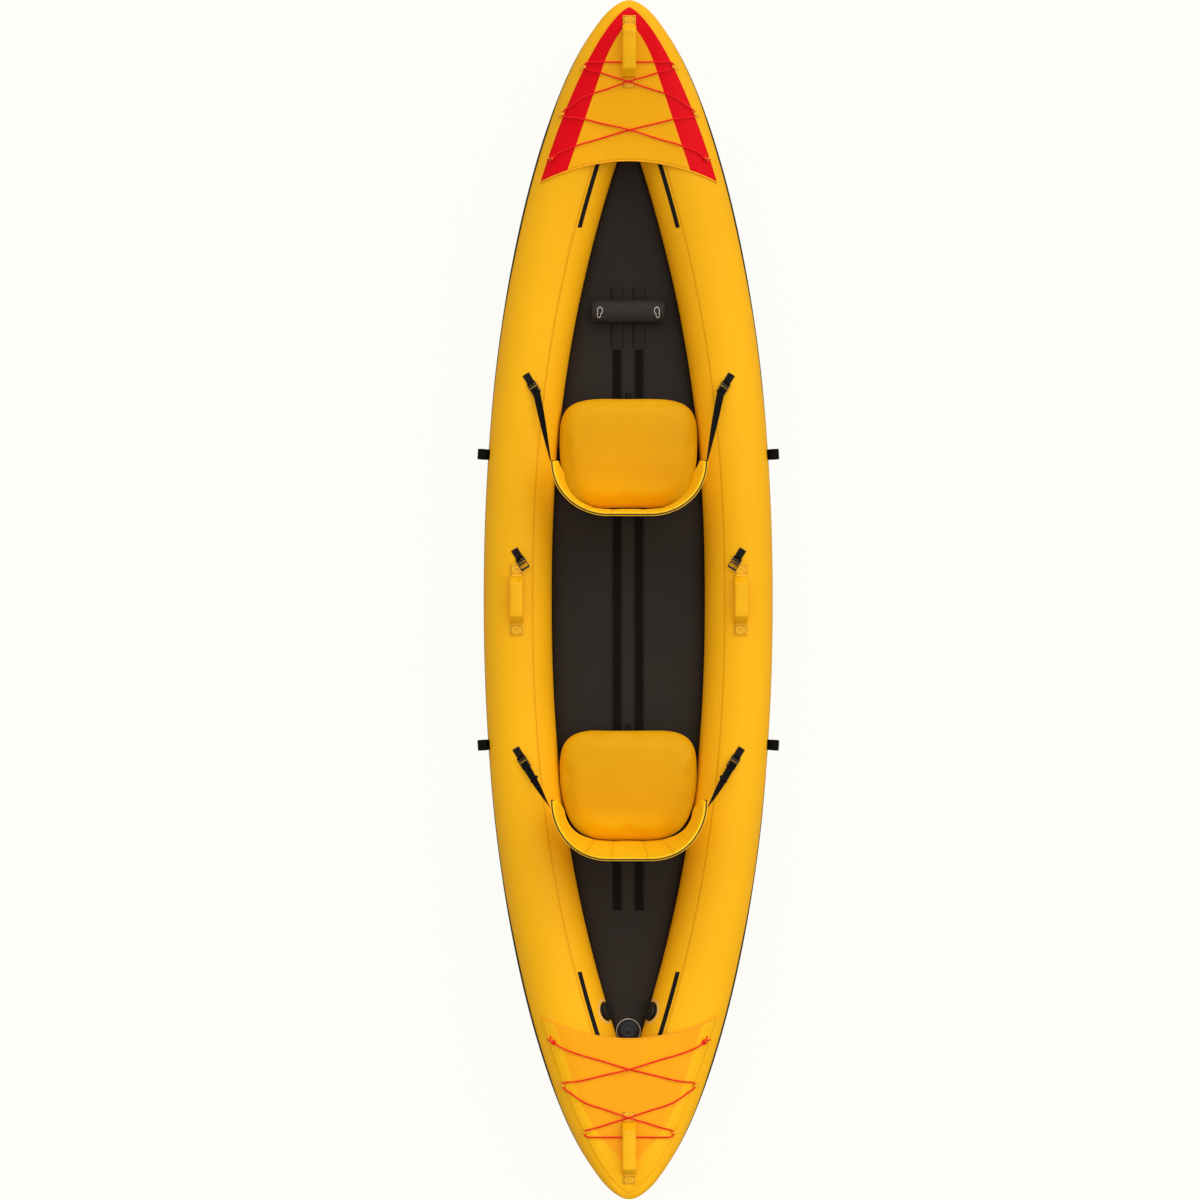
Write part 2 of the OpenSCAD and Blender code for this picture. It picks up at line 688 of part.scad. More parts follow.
// Plan line of a backrest from its port wing to its starboard wing: place and outward direction
back_half = back_w / 2 - edge_t / 2;
arc_x = back_half - back_flat / 2;
function plan_right() = concat(
  [for (x = [0, 0.27, 0.54, 0.77, 1]) [x * back_flat / 2, 0, 0, -1]],
  [for (a = [12 : 13 : 90])
    let (d = unit([sin(a) * back_depth, -cos(a) * arc_x]))
    [back_flat / 2 + arc_x * sin(a), back_depth * (1 - cos(a)), d[0], d[1]]]);
function back_plan() =
  let (r = plan_right())
  concat([for (i = [len(r) - 1 : -1 : 1]) [-r[i][0], r[i][1], -r[i][2], r[i][3]]], r);
back_levels = [0, 0.05, 0.14, 0.3, 0.5, 0.7, 0.86, 0.95, 1];
function seam_dip(x) = max([for (s = back_seams) max(0, 1 - abs(abs(x) - s) / 12)]);
function half_thick(x, v) =
  (edge_t + (back_t - edge_t) * pow(sin(180 * v), 0.6) * (1 - 0.45 * seam_dip(x))) / 2;
// Share of a wing's height that its rounded lower corner loses towards the end
wing_round = 0.55;
function corner_cut(p) = wing_round * ease((p[1] / back_depth - 0.62) / 0.38);
function back_low(p, yc) =
  let (w = ease((abs(p[0]) - back_flat / 2) / (back_half - back_flat / 2 - 14)))
  mix(mix(hinge_z(yc), top_z(yc) + wing_clear, w), back_high(p, yc), corner_cut(p));
function back_high(p, yc) = floor_top(back_y(yc)) + back_rim - wing_drop * ease(p[1] / back_depth);
wing_clear = 10;
function back_point(p, v, yc, out) =
  let (
    z = mix(back_low(p, yc), back_high(p, yc), v),
    h = out * half_thick(p[0], v) - wing_flare * (1 - v) * (1 - corner_cut(p)) * ease(p[1] / back_depth)
  ) [p[0] + p[2] * h, back_y(yc) + p[1] + p[3] * h - (z - hinge_z(yc)) * tan(back_lean), z];
module backrest(yc) {
  plan = back_plan();
  color(YELLOW)
    sheet([for (v = back_levels) [for (i = [len(plan) - 1 : -1 : 0]) back_point(plan[i], v, yc, 1)]],
      [for (v = back_levels) [for (i = [len(plan) - 1 : -1 : 0]) back_point(plan[i], v, yc, -1)]]);
}
module front_backrest() {
  backrest(front_seat_y);
}
module rear_backrest() {
  backrest(rear_seat_y);
}

// Anchor tabs, ladder locks and the straps that hold the backrests
anchor_turn = 148;
anchor_places = [[712, 88], [149, 89.5], [-491, 83]];
bar_r = 2;
roll_in = bar_r + 0.4;
roll_out = roll_in + web_t;
bar_up = lay + roll_out + 0.2;
bar_ahead = tab_l / 2 + 3;
rail_t = 2.2;
lock_half = seat_strap_w / 2 + 0.6;
lock_h = 4.4;
lock_l = 40;
module anchor_place(k) {
  a = anchor_places[k];
  in_frame(facet_frame(a[0], a[1], anchor_turn), facet_point(a[0], a[1])) children();
}
module anchor_tab() {
  difference() {
    union() {
      translate([-tab_l / 2, -seat_strap_w / 2, lay])
        cube([tab_l, seat_strap_w, web_t]);
      translate([bar_ahead, 0, bar_up])
        rotate([90, 0, 0])
          cylinder(h = seat_strap_w, r = roll_out, center = true);
    }
    translate([bar_ahead, 0, bar_up])
      rotate([90, 0, 0])
        cylinder(h = seat_strap_w + 2, r = roll_in, center = true);
  }
}
module ladder_lock() {
  translate([bar_ahead, 0, bar_up]) {
    rotate([90, 0, 0])
      cylinder(h = 2 * lock_half + rail_t, r = bar_r, center = true);
    difference() {
      translate([-2.5, -lock_half - rail_t, -lock_h / 2])
        cube([lock_l + 2.5, 2 * (lock_half + rail_t), lock_h]);
      for (slot = [[-4, roll_out + 1.2], [13, 17], [22, 34]])
        translate([slot[0], -lock_half, -lock_h])
          cube([slot[1] - slot[0], 2 * lock_half, 2 * lock_h]);
    }
  }
}
module both_sides() {
  children();
  port() children();
}
module strap_anchor_tabs() {
  color(BLACK)
    both_sides()
      for (k = [0 : 2])
        anchor_place(k) anchor_tab();
}
module seat_ladder_locks() {
  color(BLACK)
    both_sides()
      for (k = [0, 2])
        anchor_place(k) ladder_lock();
}
module starboard_spare_ladder_lock() {
  color(BLACK)
    anchor_place(1) ladder_lock();
}
module port_spare_ladder_lock() {
  port() starboard_spare_ladder_lock();
}
strap_steps = 12;
strap_level = 0.5;
front_strap_off = 1.2;
rear_strap_off = 4.2;
module seat_strap(k, yc, off) {
  a = anchor_places[k];
  f = facet_frame(a[0], a[1], anchor_turn);
  start = facet_point(a[0], a[1]) + f[0] * (bar_ahead + lock_l - 3)
    + f[2] * (bar_up + lock_h / 2 + web_t / 2 + 1.4);
  wing = plan_right()[len(plan_right()) - 1];
  finish = back_point(wing, strap_level, yc, 1) + [web_t / 2 + off, 0, 0];
  up = unit(back_point(wing, 0.8, yc, 1) - back_point(wing, 0.2, yc, 1));
  grow = finish - start;
  p = unit(grow);
  function strap_row(i, face) =
    let (
      u = i / strap_steps,
      w0 = unit(mix(-f[1], up, ease(u * 1.15))),
      t = unit(cross(w0, p)),
      w = cross(p, t)
    ) [for (e = [1, -1]) start + grow * u + w * e * seat_strap_w / 2 + t * face * web_t / 2];
  color(BLACK)
    sheet([for (i = [0 : strap_steps]) strap_row(i, 1)], [for (i = [0 : strap_steps]) strap_row(i, -1)]);
}
module front_seat_starboard_strap() {
  seat_strap(0, front_seat_y, front_strap_off);
}
module front_seat_port_strap() {
  port() seat_strap(0, front_seat_y, front_strap_off);
}
module rear_seat_starboard_strap() {
  seat_strap(2, rear_seat_y, rear_strap_off);
}
module rear_seat_port_strap() {
  port() seat_strap(2, rear_seat_y, rear_strap_off);
}

// Webbing loops on the tubes' outer sides for a paddle shaft
loop_ang = 9;
loop_patch = 40;
loop_out = loop_bore / 2 + web_t;
module paddle_loop(y) {
  in_frame(facet_frame(y, loop_ang, 0), facet_point(y, loop_ang)) {
    translate([-loop_w / 2, -loop_patch / 2, lay])
      cube([loop_w, loop_patch, web_t]);
    translate([0, 0, lay + web_t / 2 + loop_out])
      rotate([0, 90, 0])
        difference() {
          cylinder(h = loop_w, r = loop_out, center = true);
          cylinder(h = loop_w + 2, r = loop_bore / 2, center = true);
        }
  }
}
module paddle_loops() {
  color(BLACK)
    both_sides()
      for (y = [loop_y, -loop_y])
        paddle_loop(y);
}

// Fins that slide into tracks on the bottom from behind
fin_clear = 0.5;
track_top = -lay - fin_plate_t;
slide_top = track_top - 1;
slide_front = fin_track_l / 2 - 14;
lock_y = -fin_track_l / 4;
module fin_place(x, y) {
  in_frame(slope_frame(y), [x, y, bottom_line(y)]) children();
}
module fin_base() {
  floor_of_track = track_top - fin_track_h;
  color(CHARCOAL)
    difference() {
      union() {
        translate([0, 0, track_top])
          rounded_plate(fin_base_w, fin_base_l, 20, fin_plate_t);
        translate([0, 0, floor_of_track])
          rounded_plate(fin_track_w, fin_track_l, 8, fin_track_h);
        for (side = [-1, 1])
          translate([side * fin_track_w / 4, lock_y, floor_of_track - 2])
            rounded_plate(fin_track_w / 3, 16, 3, 3);
      }
      translate([-fin_slide_w / 2 - fin_clear, -fin_base_l, slide_top - fin_slide_t - fin_clear])
        cube([
          fin_slide_w + 2 * fin_clear,
          fin_base_l + slide_front + fin_clear,
          fin_slide_t + 2 * fin_clear
        ]);
      translate([-fin_t / 2 - fin_clear, -fin_base_l, floor_of_track - 4])
        cube([fin_t + 2 * fin_clear, fin_base_l + slide_front + fin_clear, fin_track_h]);
    }
}
fin_steps = 10;
blade_front = 80;
blade_rear = -70;
tip_front = -30;
tip_rear = -98;
function tip_depth(y, s) =
  let (f = slope_frame(y))
  -(bottom_line(y) + s * f[1][2]) / f[2][2];
function blade_edge(y, root, tip, power) =
  [for (i = [0 : fin_steps])
    let (u = i / fin_steps, s = mix(root, tip, pow(u, power)))
    [s, mix(slide_top - fin_slide_t / 2, tip_depth(y, s), u)]];
module fin(y) {
  front = blade_edge(y, blade_front, tip_front, 1.7);
  rear = blade_edge(y, blade_rear, tip_rear, 1.6);
  color(BLACK) {
    translate([-fin_slide_w / 2, slide_front - fin_slide_l, slide_top - fin_slide_t])
      cube([fin_slide_w, fin_slide_l, fin_slide_t]);
    rotate([90, 0, 90])
      linear_extrude(fin_t, center = true)
        polygon(concat(front, [for (i = [fin_steps : -1 : 0]) rear[i]]));
  }
}
module front_fin_base() {
  fin_place(0, front_fin_y) fin_base();
}
module port_fin_base() {
  fin_place(-rear_fin_x, -rear_fin_y) fin_base();
}
module starboard_fin_base() {
  fin_place(rear_fin_x, -rear_fin_y) fin_base();
}
module front_fin() {
  fin_place(0, front_fin_y) fin(front_fin_y);
}
module port_fin() {
  fin_place(-rear_fin_x, -rear_fin_y) fin(-rear_fin_y);
}
module starboard_fin() {
  fin_place(rear_fin_x, -rear_fin_y) fin(-rear_fin_y);
}

// Valves: a flanged body with a sprung plunger in its throat and a hinged cap
flange_h = 3;
neck_r = valve_r * 0.77;
neck_h = 9;
throat_r = 18;
throat_depth = 34;
seat_depth = 14;
chamber_r = 15;
guide_t = 3;
stem_r = 3;
stem_gap = 0.4;
disc_r = 13.5;
disc_t = 3;
cap_gap = 0.6;
cap_wall = 2.5;
cap_top = 13.5;
cap_hinge = valve_r - 1;
module valve_body() {
  color(BLACK)
    difference() {
      union() {
        translate([0, 0, -valve_seat + lay])
          cylinder(h = valve_seat + flange_h - lay, r = valve_r);
        cylinder(h = neck_h, r = neck_r);
        translate([0, 0, -throat_depth])
          cylinder(h = throat_depth, r = throat_r);
      }
      translate([0, 0, -seat_depth - 1])
        cylinder(h = neck_h + seat_depth + 2, r = valve_mouth_r);
      translate([0, 0, -throat_depth + guide_t])
        cylinder(h = throat_depth - guide_t - seat_depth, r = chamber_r);
      translate([0, 0, -throat_depth - 1])
        cylinder(h = guide_t + 2, r = stem_r + stem_gap);
    }
}
module valve_plunger() {
  low = throat_depth + 1;
  top = -seat_depth - lay;
  color(CHARCOAL) {
    translate([0, 0, -low])
      cylinder(h = low + top, r = stem_r);
    translate([0, 0, top - disc_t])
      cylinder(h = disc_t, r = disc_r);
  }
}
module valve_cap() {
  inner = neck_r + cap_gap;
  low = flange_h + lay;
  color(BLACK)
    difference() {
      union() {
        translate([0, 0, low])
          cylinder(h = cap_top - low, r = inner + cap_wall);
        translate([inner, -7, low])
          cube([cap_hinge - inner, 14, 2]);
      }
      translate([0, 0, low - 1])
        cylinder(h = neck_h - low + 1.6, r = inner);
    }
}
module starboard_valve_body() {
  tube_valve_place() valve_body();
}
module port_valve_body() {
  port() starboard_valve_body();
}
module floor_valve_body() {
  floor_valve_place() valve_body();
}
module starboard_valve_plunger() {
  tube_valve_place() valve_plunger();
}
module port_valve_plunger() {
  port() starboard_valve_plunger();
}
module floor_valve_plunger() {
  floor_valve_place() valve_plunger();
}
module starboard_valve_cap() {
  tube_valve_place() valve_cap();
}
module port_valve_cap() {
  port() starboard_valve_cap();
}
module floor_valve_cap() {
  floor_valve_place() valve_cap();
}

port_bladder();
starboard_bladder();
port_tube_cover();
starboard_tube_cover();
floor_chamber();
hull_skin();
port_seam_tape();
starboard_seam_tape();
bow_deck();
stern_deck();
bow_cord();
stern_cord();
bow_cord_loops();
stern_cord_loops();
bow_handle_webbing();
bow_handle_grip();
stern_handle_webbing();
stern_handle_grip();
port_handle_webbing();
port_handle_grip();
starboard_handle_webbing();
starboard_handle_grip();
bow_zips();
stern_zips();
floor_straps();
footrest_roll();
footrest_tapes();
front_seat_cushion();
front_backrest();
front_seat_port_strap();
front_seat_starboard_strap();
front_seat_valve();
rear_seat_cushion();
rear_backrest();
rear_seat_port_strap();
rear_seat_starboard_strap();
rear_seat_valve();
strap_anchor_tabs();
seat_ladder_locks();
port_spare_ladder_lock();
starboard_spare_ladder_lock();
paddle_loops();
front_fin_base();
port_fin_base();
starboard_fin_base();
front_fin();
port_fin();
starboard_fin();
port_valve_body();
starboard_valve_body();
floor_valve_body();
port_valve_plunger();
starboard_valve_plunger();
floor_valve_plunger();
port_valve_cap();
starboard_valve_cap();
floor_valve_cap();
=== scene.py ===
"""Looks of a tandem inflatable kayak: coated fabric, webbing, cord, seats and fittings over its solids."""

import json
import math

import bmesh
import bpy
from mathutils import Matrix, Vector
from mathutils.bvhtree import BVHTree
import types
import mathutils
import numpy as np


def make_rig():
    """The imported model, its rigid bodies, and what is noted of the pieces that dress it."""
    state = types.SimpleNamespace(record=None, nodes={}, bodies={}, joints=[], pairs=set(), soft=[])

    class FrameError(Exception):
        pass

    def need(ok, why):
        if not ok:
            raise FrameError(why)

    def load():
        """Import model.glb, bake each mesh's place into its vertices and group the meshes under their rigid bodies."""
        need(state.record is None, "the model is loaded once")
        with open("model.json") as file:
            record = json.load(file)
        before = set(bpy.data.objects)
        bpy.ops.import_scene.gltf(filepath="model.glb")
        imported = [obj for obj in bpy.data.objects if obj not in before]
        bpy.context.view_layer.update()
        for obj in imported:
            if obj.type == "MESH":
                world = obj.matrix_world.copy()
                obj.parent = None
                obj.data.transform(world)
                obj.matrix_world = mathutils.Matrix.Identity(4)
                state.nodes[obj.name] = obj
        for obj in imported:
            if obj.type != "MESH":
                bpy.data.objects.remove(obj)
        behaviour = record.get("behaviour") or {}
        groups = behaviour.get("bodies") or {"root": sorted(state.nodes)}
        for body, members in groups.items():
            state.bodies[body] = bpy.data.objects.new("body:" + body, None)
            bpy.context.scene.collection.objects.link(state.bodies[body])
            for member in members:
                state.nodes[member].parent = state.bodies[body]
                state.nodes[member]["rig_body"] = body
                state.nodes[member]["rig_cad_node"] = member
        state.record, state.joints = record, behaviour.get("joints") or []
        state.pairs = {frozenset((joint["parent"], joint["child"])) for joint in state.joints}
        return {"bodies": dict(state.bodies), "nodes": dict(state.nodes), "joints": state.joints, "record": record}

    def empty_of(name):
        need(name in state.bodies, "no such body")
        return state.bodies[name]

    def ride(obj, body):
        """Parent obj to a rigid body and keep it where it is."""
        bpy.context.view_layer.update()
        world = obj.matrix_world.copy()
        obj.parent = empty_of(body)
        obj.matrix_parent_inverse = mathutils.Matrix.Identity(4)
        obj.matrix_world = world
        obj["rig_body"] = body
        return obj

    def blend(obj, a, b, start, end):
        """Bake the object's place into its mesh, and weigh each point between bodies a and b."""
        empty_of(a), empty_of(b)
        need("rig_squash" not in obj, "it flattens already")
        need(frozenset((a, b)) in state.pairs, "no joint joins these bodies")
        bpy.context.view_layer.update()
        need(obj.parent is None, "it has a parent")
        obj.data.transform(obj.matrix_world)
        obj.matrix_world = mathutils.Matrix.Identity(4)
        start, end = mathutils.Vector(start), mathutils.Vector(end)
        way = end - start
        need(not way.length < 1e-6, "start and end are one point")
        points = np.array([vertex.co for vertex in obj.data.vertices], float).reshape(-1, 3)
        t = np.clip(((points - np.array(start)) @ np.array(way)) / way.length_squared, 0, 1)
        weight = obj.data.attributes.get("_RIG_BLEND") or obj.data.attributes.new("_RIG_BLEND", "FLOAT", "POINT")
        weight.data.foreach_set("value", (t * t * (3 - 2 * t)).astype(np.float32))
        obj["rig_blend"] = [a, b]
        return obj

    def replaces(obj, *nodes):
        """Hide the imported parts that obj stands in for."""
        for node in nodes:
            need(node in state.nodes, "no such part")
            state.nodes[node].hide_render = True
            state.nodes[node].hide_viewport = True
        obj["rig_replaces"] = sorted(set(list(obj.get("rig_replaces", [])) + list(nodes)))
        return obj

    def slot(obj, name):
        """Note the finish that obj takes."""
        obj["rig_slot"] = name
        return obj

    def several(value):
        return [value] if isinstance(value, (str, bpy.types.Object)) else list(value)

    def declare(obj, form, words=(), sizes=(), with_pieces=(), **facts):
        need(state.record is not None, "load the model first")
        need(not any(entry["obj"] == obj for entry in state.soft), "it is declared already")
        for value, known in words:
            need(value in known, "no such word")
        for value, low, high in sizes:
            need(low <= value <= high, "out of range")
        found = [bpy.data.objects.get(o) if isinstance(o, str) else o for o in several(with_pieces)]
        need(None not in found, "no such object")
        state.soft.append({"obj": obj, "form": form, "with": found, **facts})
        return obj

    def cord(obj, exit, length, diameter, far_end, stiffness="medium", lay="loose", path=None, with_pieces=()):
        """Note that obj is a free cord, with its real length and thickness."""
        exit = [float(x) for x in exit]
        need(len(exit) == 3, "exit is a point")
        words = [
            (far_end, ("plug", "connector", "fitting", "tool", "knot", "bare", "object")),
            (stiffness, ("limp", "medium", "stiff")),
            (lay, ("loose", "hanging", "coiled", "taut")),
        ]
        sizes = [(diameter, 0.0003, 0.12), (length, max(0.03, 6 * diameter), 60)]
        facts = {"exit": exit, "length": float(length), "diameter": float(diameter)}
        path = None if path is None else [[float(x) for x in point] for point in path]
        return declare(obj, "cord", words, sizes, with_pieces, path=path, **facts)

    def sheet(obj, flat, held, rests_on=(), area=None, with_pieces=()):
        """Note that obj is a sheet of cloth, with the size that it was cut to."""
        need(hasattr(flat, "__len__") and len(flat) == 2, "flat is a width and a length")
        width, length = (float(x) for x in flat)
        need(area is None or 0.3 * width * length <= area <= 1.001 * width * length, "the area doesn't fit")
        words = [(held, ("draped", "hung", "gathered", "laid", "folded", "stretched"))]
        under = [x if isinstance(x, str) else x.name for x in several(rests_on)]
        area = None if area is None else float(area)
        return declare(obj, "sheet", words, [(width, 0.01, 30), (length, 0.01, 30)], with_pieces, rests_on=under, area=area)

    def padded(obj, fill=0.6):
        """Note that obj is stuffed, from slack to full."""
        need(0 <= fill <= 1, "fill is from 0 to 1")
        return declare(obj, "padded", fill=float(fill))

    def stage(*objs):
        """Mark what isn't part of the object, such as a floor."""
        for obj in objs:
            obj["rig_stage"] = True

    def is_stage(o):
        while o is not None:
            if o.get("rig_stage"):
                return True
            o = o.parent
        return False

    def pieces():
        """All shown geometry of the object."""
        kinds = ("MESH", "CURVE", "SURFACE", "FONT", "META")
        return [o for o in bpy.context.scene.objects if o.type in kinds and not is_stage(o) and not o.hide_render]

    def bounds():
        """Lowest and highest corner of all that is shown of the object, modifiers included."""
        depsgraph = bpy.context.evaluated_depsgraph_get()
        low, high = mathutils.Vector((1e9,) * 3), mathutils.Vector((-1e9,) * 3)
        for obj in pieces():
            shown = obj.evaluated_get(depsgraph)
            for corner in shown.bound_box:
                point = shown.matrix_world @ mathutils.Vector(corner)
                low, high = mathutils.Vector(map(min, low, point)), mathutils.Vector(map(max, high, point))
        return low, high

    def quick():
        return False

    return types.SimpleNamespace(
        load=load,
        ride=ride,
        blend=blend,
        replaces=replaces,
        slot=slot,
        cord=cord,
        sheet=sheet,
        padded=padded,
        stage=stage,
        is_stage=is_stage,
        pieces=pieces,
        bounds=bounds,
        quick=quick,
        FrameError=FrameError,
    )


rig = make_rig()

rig.load()
cad_low, cad_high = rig.bounds()
scene = bpy.context.scene

# Sizes in metres, the same values as the solids
HALF_LENGTH = 1.895
HALF_BEAM = 0.472
COCKPIT_HALF_WIDTH = 0.249
COCKPIT_HALF_LENGTH = 1.52
TUBE_RADIUS = 0.114
KEEL_HEIGHT = 0.106
TIP_RISE = 0.25
TIP_SHARE = 0.9995
LAY = 0.0003
WEB = 0.002
SKIN = 0.002
SEAM_ANGLE = -18
COVER_ANGLES = (-16, 234)
FACETS_ALONG = 34
FACET_ANGLE = 18
SETTLE = -0.001
FLOOR_DEPTH = 0.09
FLOOR_EDGE = 0.034
FLOOR_END = 1.4592
DECK_TIP = 1.868
DECK_HALF = 0.466
DECK_CORNER = 1.339
DECK_HOLLOW = 0.063
DECK_RISE = 0.0032
CORD_RADIUS = 0.0023
SEAT_PLACES = {"front": 0.476, "rear": -0.601}
SEAT_DEPTH = 0.354
SEAT_WIDTH = 0.45
SEAT_HEIGHT = 0.098
FOOTREST_PLACE = 0.941
VALVE_PLACE = -1.329
VALVE_ANGLE = 160
FLOOR_VALVE_PLACE = -1.399
ANCHORS = ((0.712, 88), (0.149, 89.5), (-0.491, 83))
ANCHOR_TURN = 148
LOOP_PLACE = 0.472
LOOP_ANGLE = 9
FIN_PLACES = {"front": (0.0, 0.791), "port": (-0.133, -1.005), "starboard": (0.133, -1.005)}
SIDES = {"starboard": 1, "port": -1}
ENDS = {"bow": 1, "stern": -1}

# Camera, straight above, at the height and offset that the photograph's frame gives
CAMERA_HEIGHT = 8.22
CAMERA_PLACE = (-0.0922, -0.001)
FRAME_WIDTH = 3.917
FRAME_HEIGHT = 0.22
SENSOR = 36
camera_data = bpy.data.cameras.new("camera")
camera_data.sensor_width = SENSOR
camera_data.lens = SENSOR * (CAMERA_HEIGHT - FRAME_HEIGHT) / FRAME_WIDTH
camera = bpy.data.objects.new("camera", camera_data)
camera.location = (*CAMERA_PLACE, CAMERA_HEIGHT)
scene.collection.objects.link(camera)
scene.camera = camera


# Hull laws
def clamp(value, low=0.0, high=1.0):
    return min(high, max(low, value))


def ease(value):
    share = clamp(value)
    return share * share * (3 - 2 * share)


def mix(a, b, share):
    return a + (b - a) * share


def signed_power(value, power):
    return math.copysign(abs(value) ** power, value)


def mirrored(spot, side=1, end=1):
    return Vector((side * spot.x, end * spot.y, spot.z))


def end_share(y):
    return min(abs(y) / HALF_LENGTH, TIP_SHARE)


def outer_x(y):
    return HALF_BEAM * (1 - end_share(y) ** 2.1) ** 0.59


def inner_x(y):
    return max(0.0002, COCKPIT_HALF_WIDTH * (1 - (abs(y) / COCKPIT_HALF_LENGTH) ** 2.25))


def tube_x(y):
    return (outer_x(y) + inner_x(y)) / 2


def tube_half_width(y):
    return (outer_x(y) - inner_x(y)) / 2


def tube_half_height(y):
    return TUBE_RADIUS * math.sqrt(1 - end_share(y) ** 8)


def tube_z(y):
    return KEEL_HEIGHT + TUBE_RADIUS + TIP_RISE * end_share(y) ** 4.5


def bottom_z(y):
    return tube_z(y) - tube_half_height(y)


def top_z(y):
    return tube_z(y) + tube_half_height(y)


def tube_spot(y, degrees, proud=0.0, side=1):
    """Point on a side tube; 0 degrees is outboard and 90 is the top."""
    turn = math.radians(degrees)
    x = tube_x(y) + (tube_half_width(y) + proud) * math.cos(turn)
    return Vector((side * x, y, tube_z(y) + (tube_half_height(y) + proud) * math.sin(turn)))


def along(share):
    """Length position for a share from 0 at the stern to 1 at the bow, closer set at the ends."""
    return HALF_LENGTH * TIP_SHARE * math.sin((share - 0.5) * math.pi)


def over_tubes(x, y):
    lean = (abs(x) - tube_x(y)) / tube_half_width(y)
    if lean <= 0:
        return top_z(y)
    return tube_z(y) + tube_half_height(y) * math.sqrt(max(0.0, 1 - lean * lean))


def deck_half_width(y):
    return DECK_HALF * (1 - min(abs(y) / DECK_TIP, TIP_SHARE) ** 2.1) ** 0.72


def deck_z(x, y):
    return over_tubes(x, y) + DECK_RISE


# Facet laws of the solids, which seat the fittings
STATIONS = [along(i / FACETS_ALONG) for i in range(FACETS_ALONG + 1)]


def facet_cell(y):
    """Stations before and after y, and the share of the way between them."""
    i = max(i for i in range(FACETS_ALONG) if STATIONS[i] <= y)
    aft, fore = STATIONS[i], STATIONS[i + 1]
    return aft, fore, (y - aft) / (fore - aft)


def facet_angles(degrees):
    low = math.floor(degrees / FACET_ANGLE) * FACET_ANGLE
    return low, low + FACET_ANGLE


def facet_spot(y, degrees):
    aft, fore, share = facet_cell(y)
    low, high = facet_angles(degrees)
    ends = [tube_spot(aft, angle).lerp(tube_spot(fore, angle), share) for angle in (low, high)]
    return ends[0].lerp(ends[1], (degrees - low) / FACET_ANGLE)


def frame_matrix(first, second, third, spot):
    rows = Matrix((first, second, third)).transposed().to_4x4()
    rows.translation = spot
    return rows


def facet_frame(y, degrees, turn=0):
    """Frame on a facet: the first axis swings from the bow towards the inside, the third points out."""
    aft, fore, _ = facet_cell(y)
    low, high = facet_angles(degrees)
    one = tube_spot(fore, high) - tube_spot(aft, low)
    two = tube_spot(aft, high) - tube_spot(fore, low)
    out = one.cross(two).normalized()
    bow = (Vector((0, 1, 0)) - out * out.y).normalized()
    swing = math.radians(turn)
    first = bow * math.cos(swing) + out.cross(bow) * math.sin(swing)
    return frame_matrix(first, out.cross(first), out, facet_spot(y, degrees))


def bottom_line(y):
    aft, fore, share = facet_cell(y)
    return mix(bottom_z(aft), bottom_z(fore), share)


def floor_top(y):
    return bottom_line(y) + SKIN + LAY + FLOOR_DEPTH


def slope_frame(x, y, z):
    aft, fore, _ = facet_cell(y)
    bow = Vector((0, fore - aft, bottom_z(fore) - bottom_z(aft))).normalized()
    across = Vector((1, 0, 0))
    return frame_matrix(across, bow, across.cross(bow), Vector((x, y, z)))


MIRROR = Matrix.Diagonal((-1, 1, 1, 1))


def sided(matrix, side):
    return matrix if side > 0 else MIRROR @ matrix


# Shader helpers
def colour(red, green, blue):
    """Linear colour from screen values of 0 to 255."""
    parts = []
    for value in (red, green, blue):
        share = value / 255
        parts.append(share / 12.92 if share < 0.04 else ((share + 0.055) / 1.055) ** 2.4)
    return (*parts, 1.0)


class Graph:
    """Adds nodes to one shader tree; an input takes a socket or a plain value."""

    def __init__(self, tree):
        self.tree = tree

    def feed(self, socket, value):
        if isinstance(value, bpy.types.NodeSocket):
            self.tree.links.new(value, socket)
        else:
            socket.default_value = value

    def add(self, kind, inputs=None, **settings):
        made = self.tree.nodes.new(kind)
        for key, value in settings.items():
            setattr(made, key, value)
        for key, value in (inputs or {}).items():
            self.feed(made.inputs[key], value)
        return made

    def calc(self, operation, *values):
        made = self.add("ShaderNodeMath", operation=operation)
        for socket, value in zip(made.inputs, values):
            self.feed(socket, value)
        return made.outputs[0]

    def ramp(self, value, low, high, start=0.0, end=1.0):
        made = self.add("ShaderNodeMapRange", interpolation_type="SMOOTHSTEP")
        for socket, given in zip(made.inputs, (value, low, high, start, end)):
            self.feed(socket, given)
        return made.outputs[0]

    def blend(self, share, first, second, how="MIX"):
        made = self.add("ShaderNodeMix", data_type="RGBA", blend_type=how)
        for index, value in ((0, share), (6, first), (7, second)):
            self.feed(made.inputs[index], value)
        return made.outputs[2]

    def part(self, vector, axis):
        return self.add("ShaderNodeSeparateXYZ", {"Vector": vector}).outputs[axis]

    def use(self, group, **inputs):
        made = self.add("ShaderNodeGroup", node_tree=group)
        for key, value in inputs.items():
            self.feed(made.inputs[key], value)
        return made.outputs


def new_group(name, inputs, outputs):
    tree = bpy.data.node_groups.new(name, "ShaderNodeTree")
    kinds = {"f": "NodeSocketFloat", "v": "NodeSocketVector", "c": "NodeSocketColor"}
    for label, kind in inputs.items():
        tree.interface.new_socket(label, in_out="INPUT", socket_type=kinds[kind])
    for label, kind in outputs.items():
        tree.interface.new_socket(label, in_out="OUTPUT", socket_type=kinds[kind])
    g = Graph(tree)
    return tree, g, g.add("NodeGroupInput").outputs, g.add("NodeGroupOutput").inputs


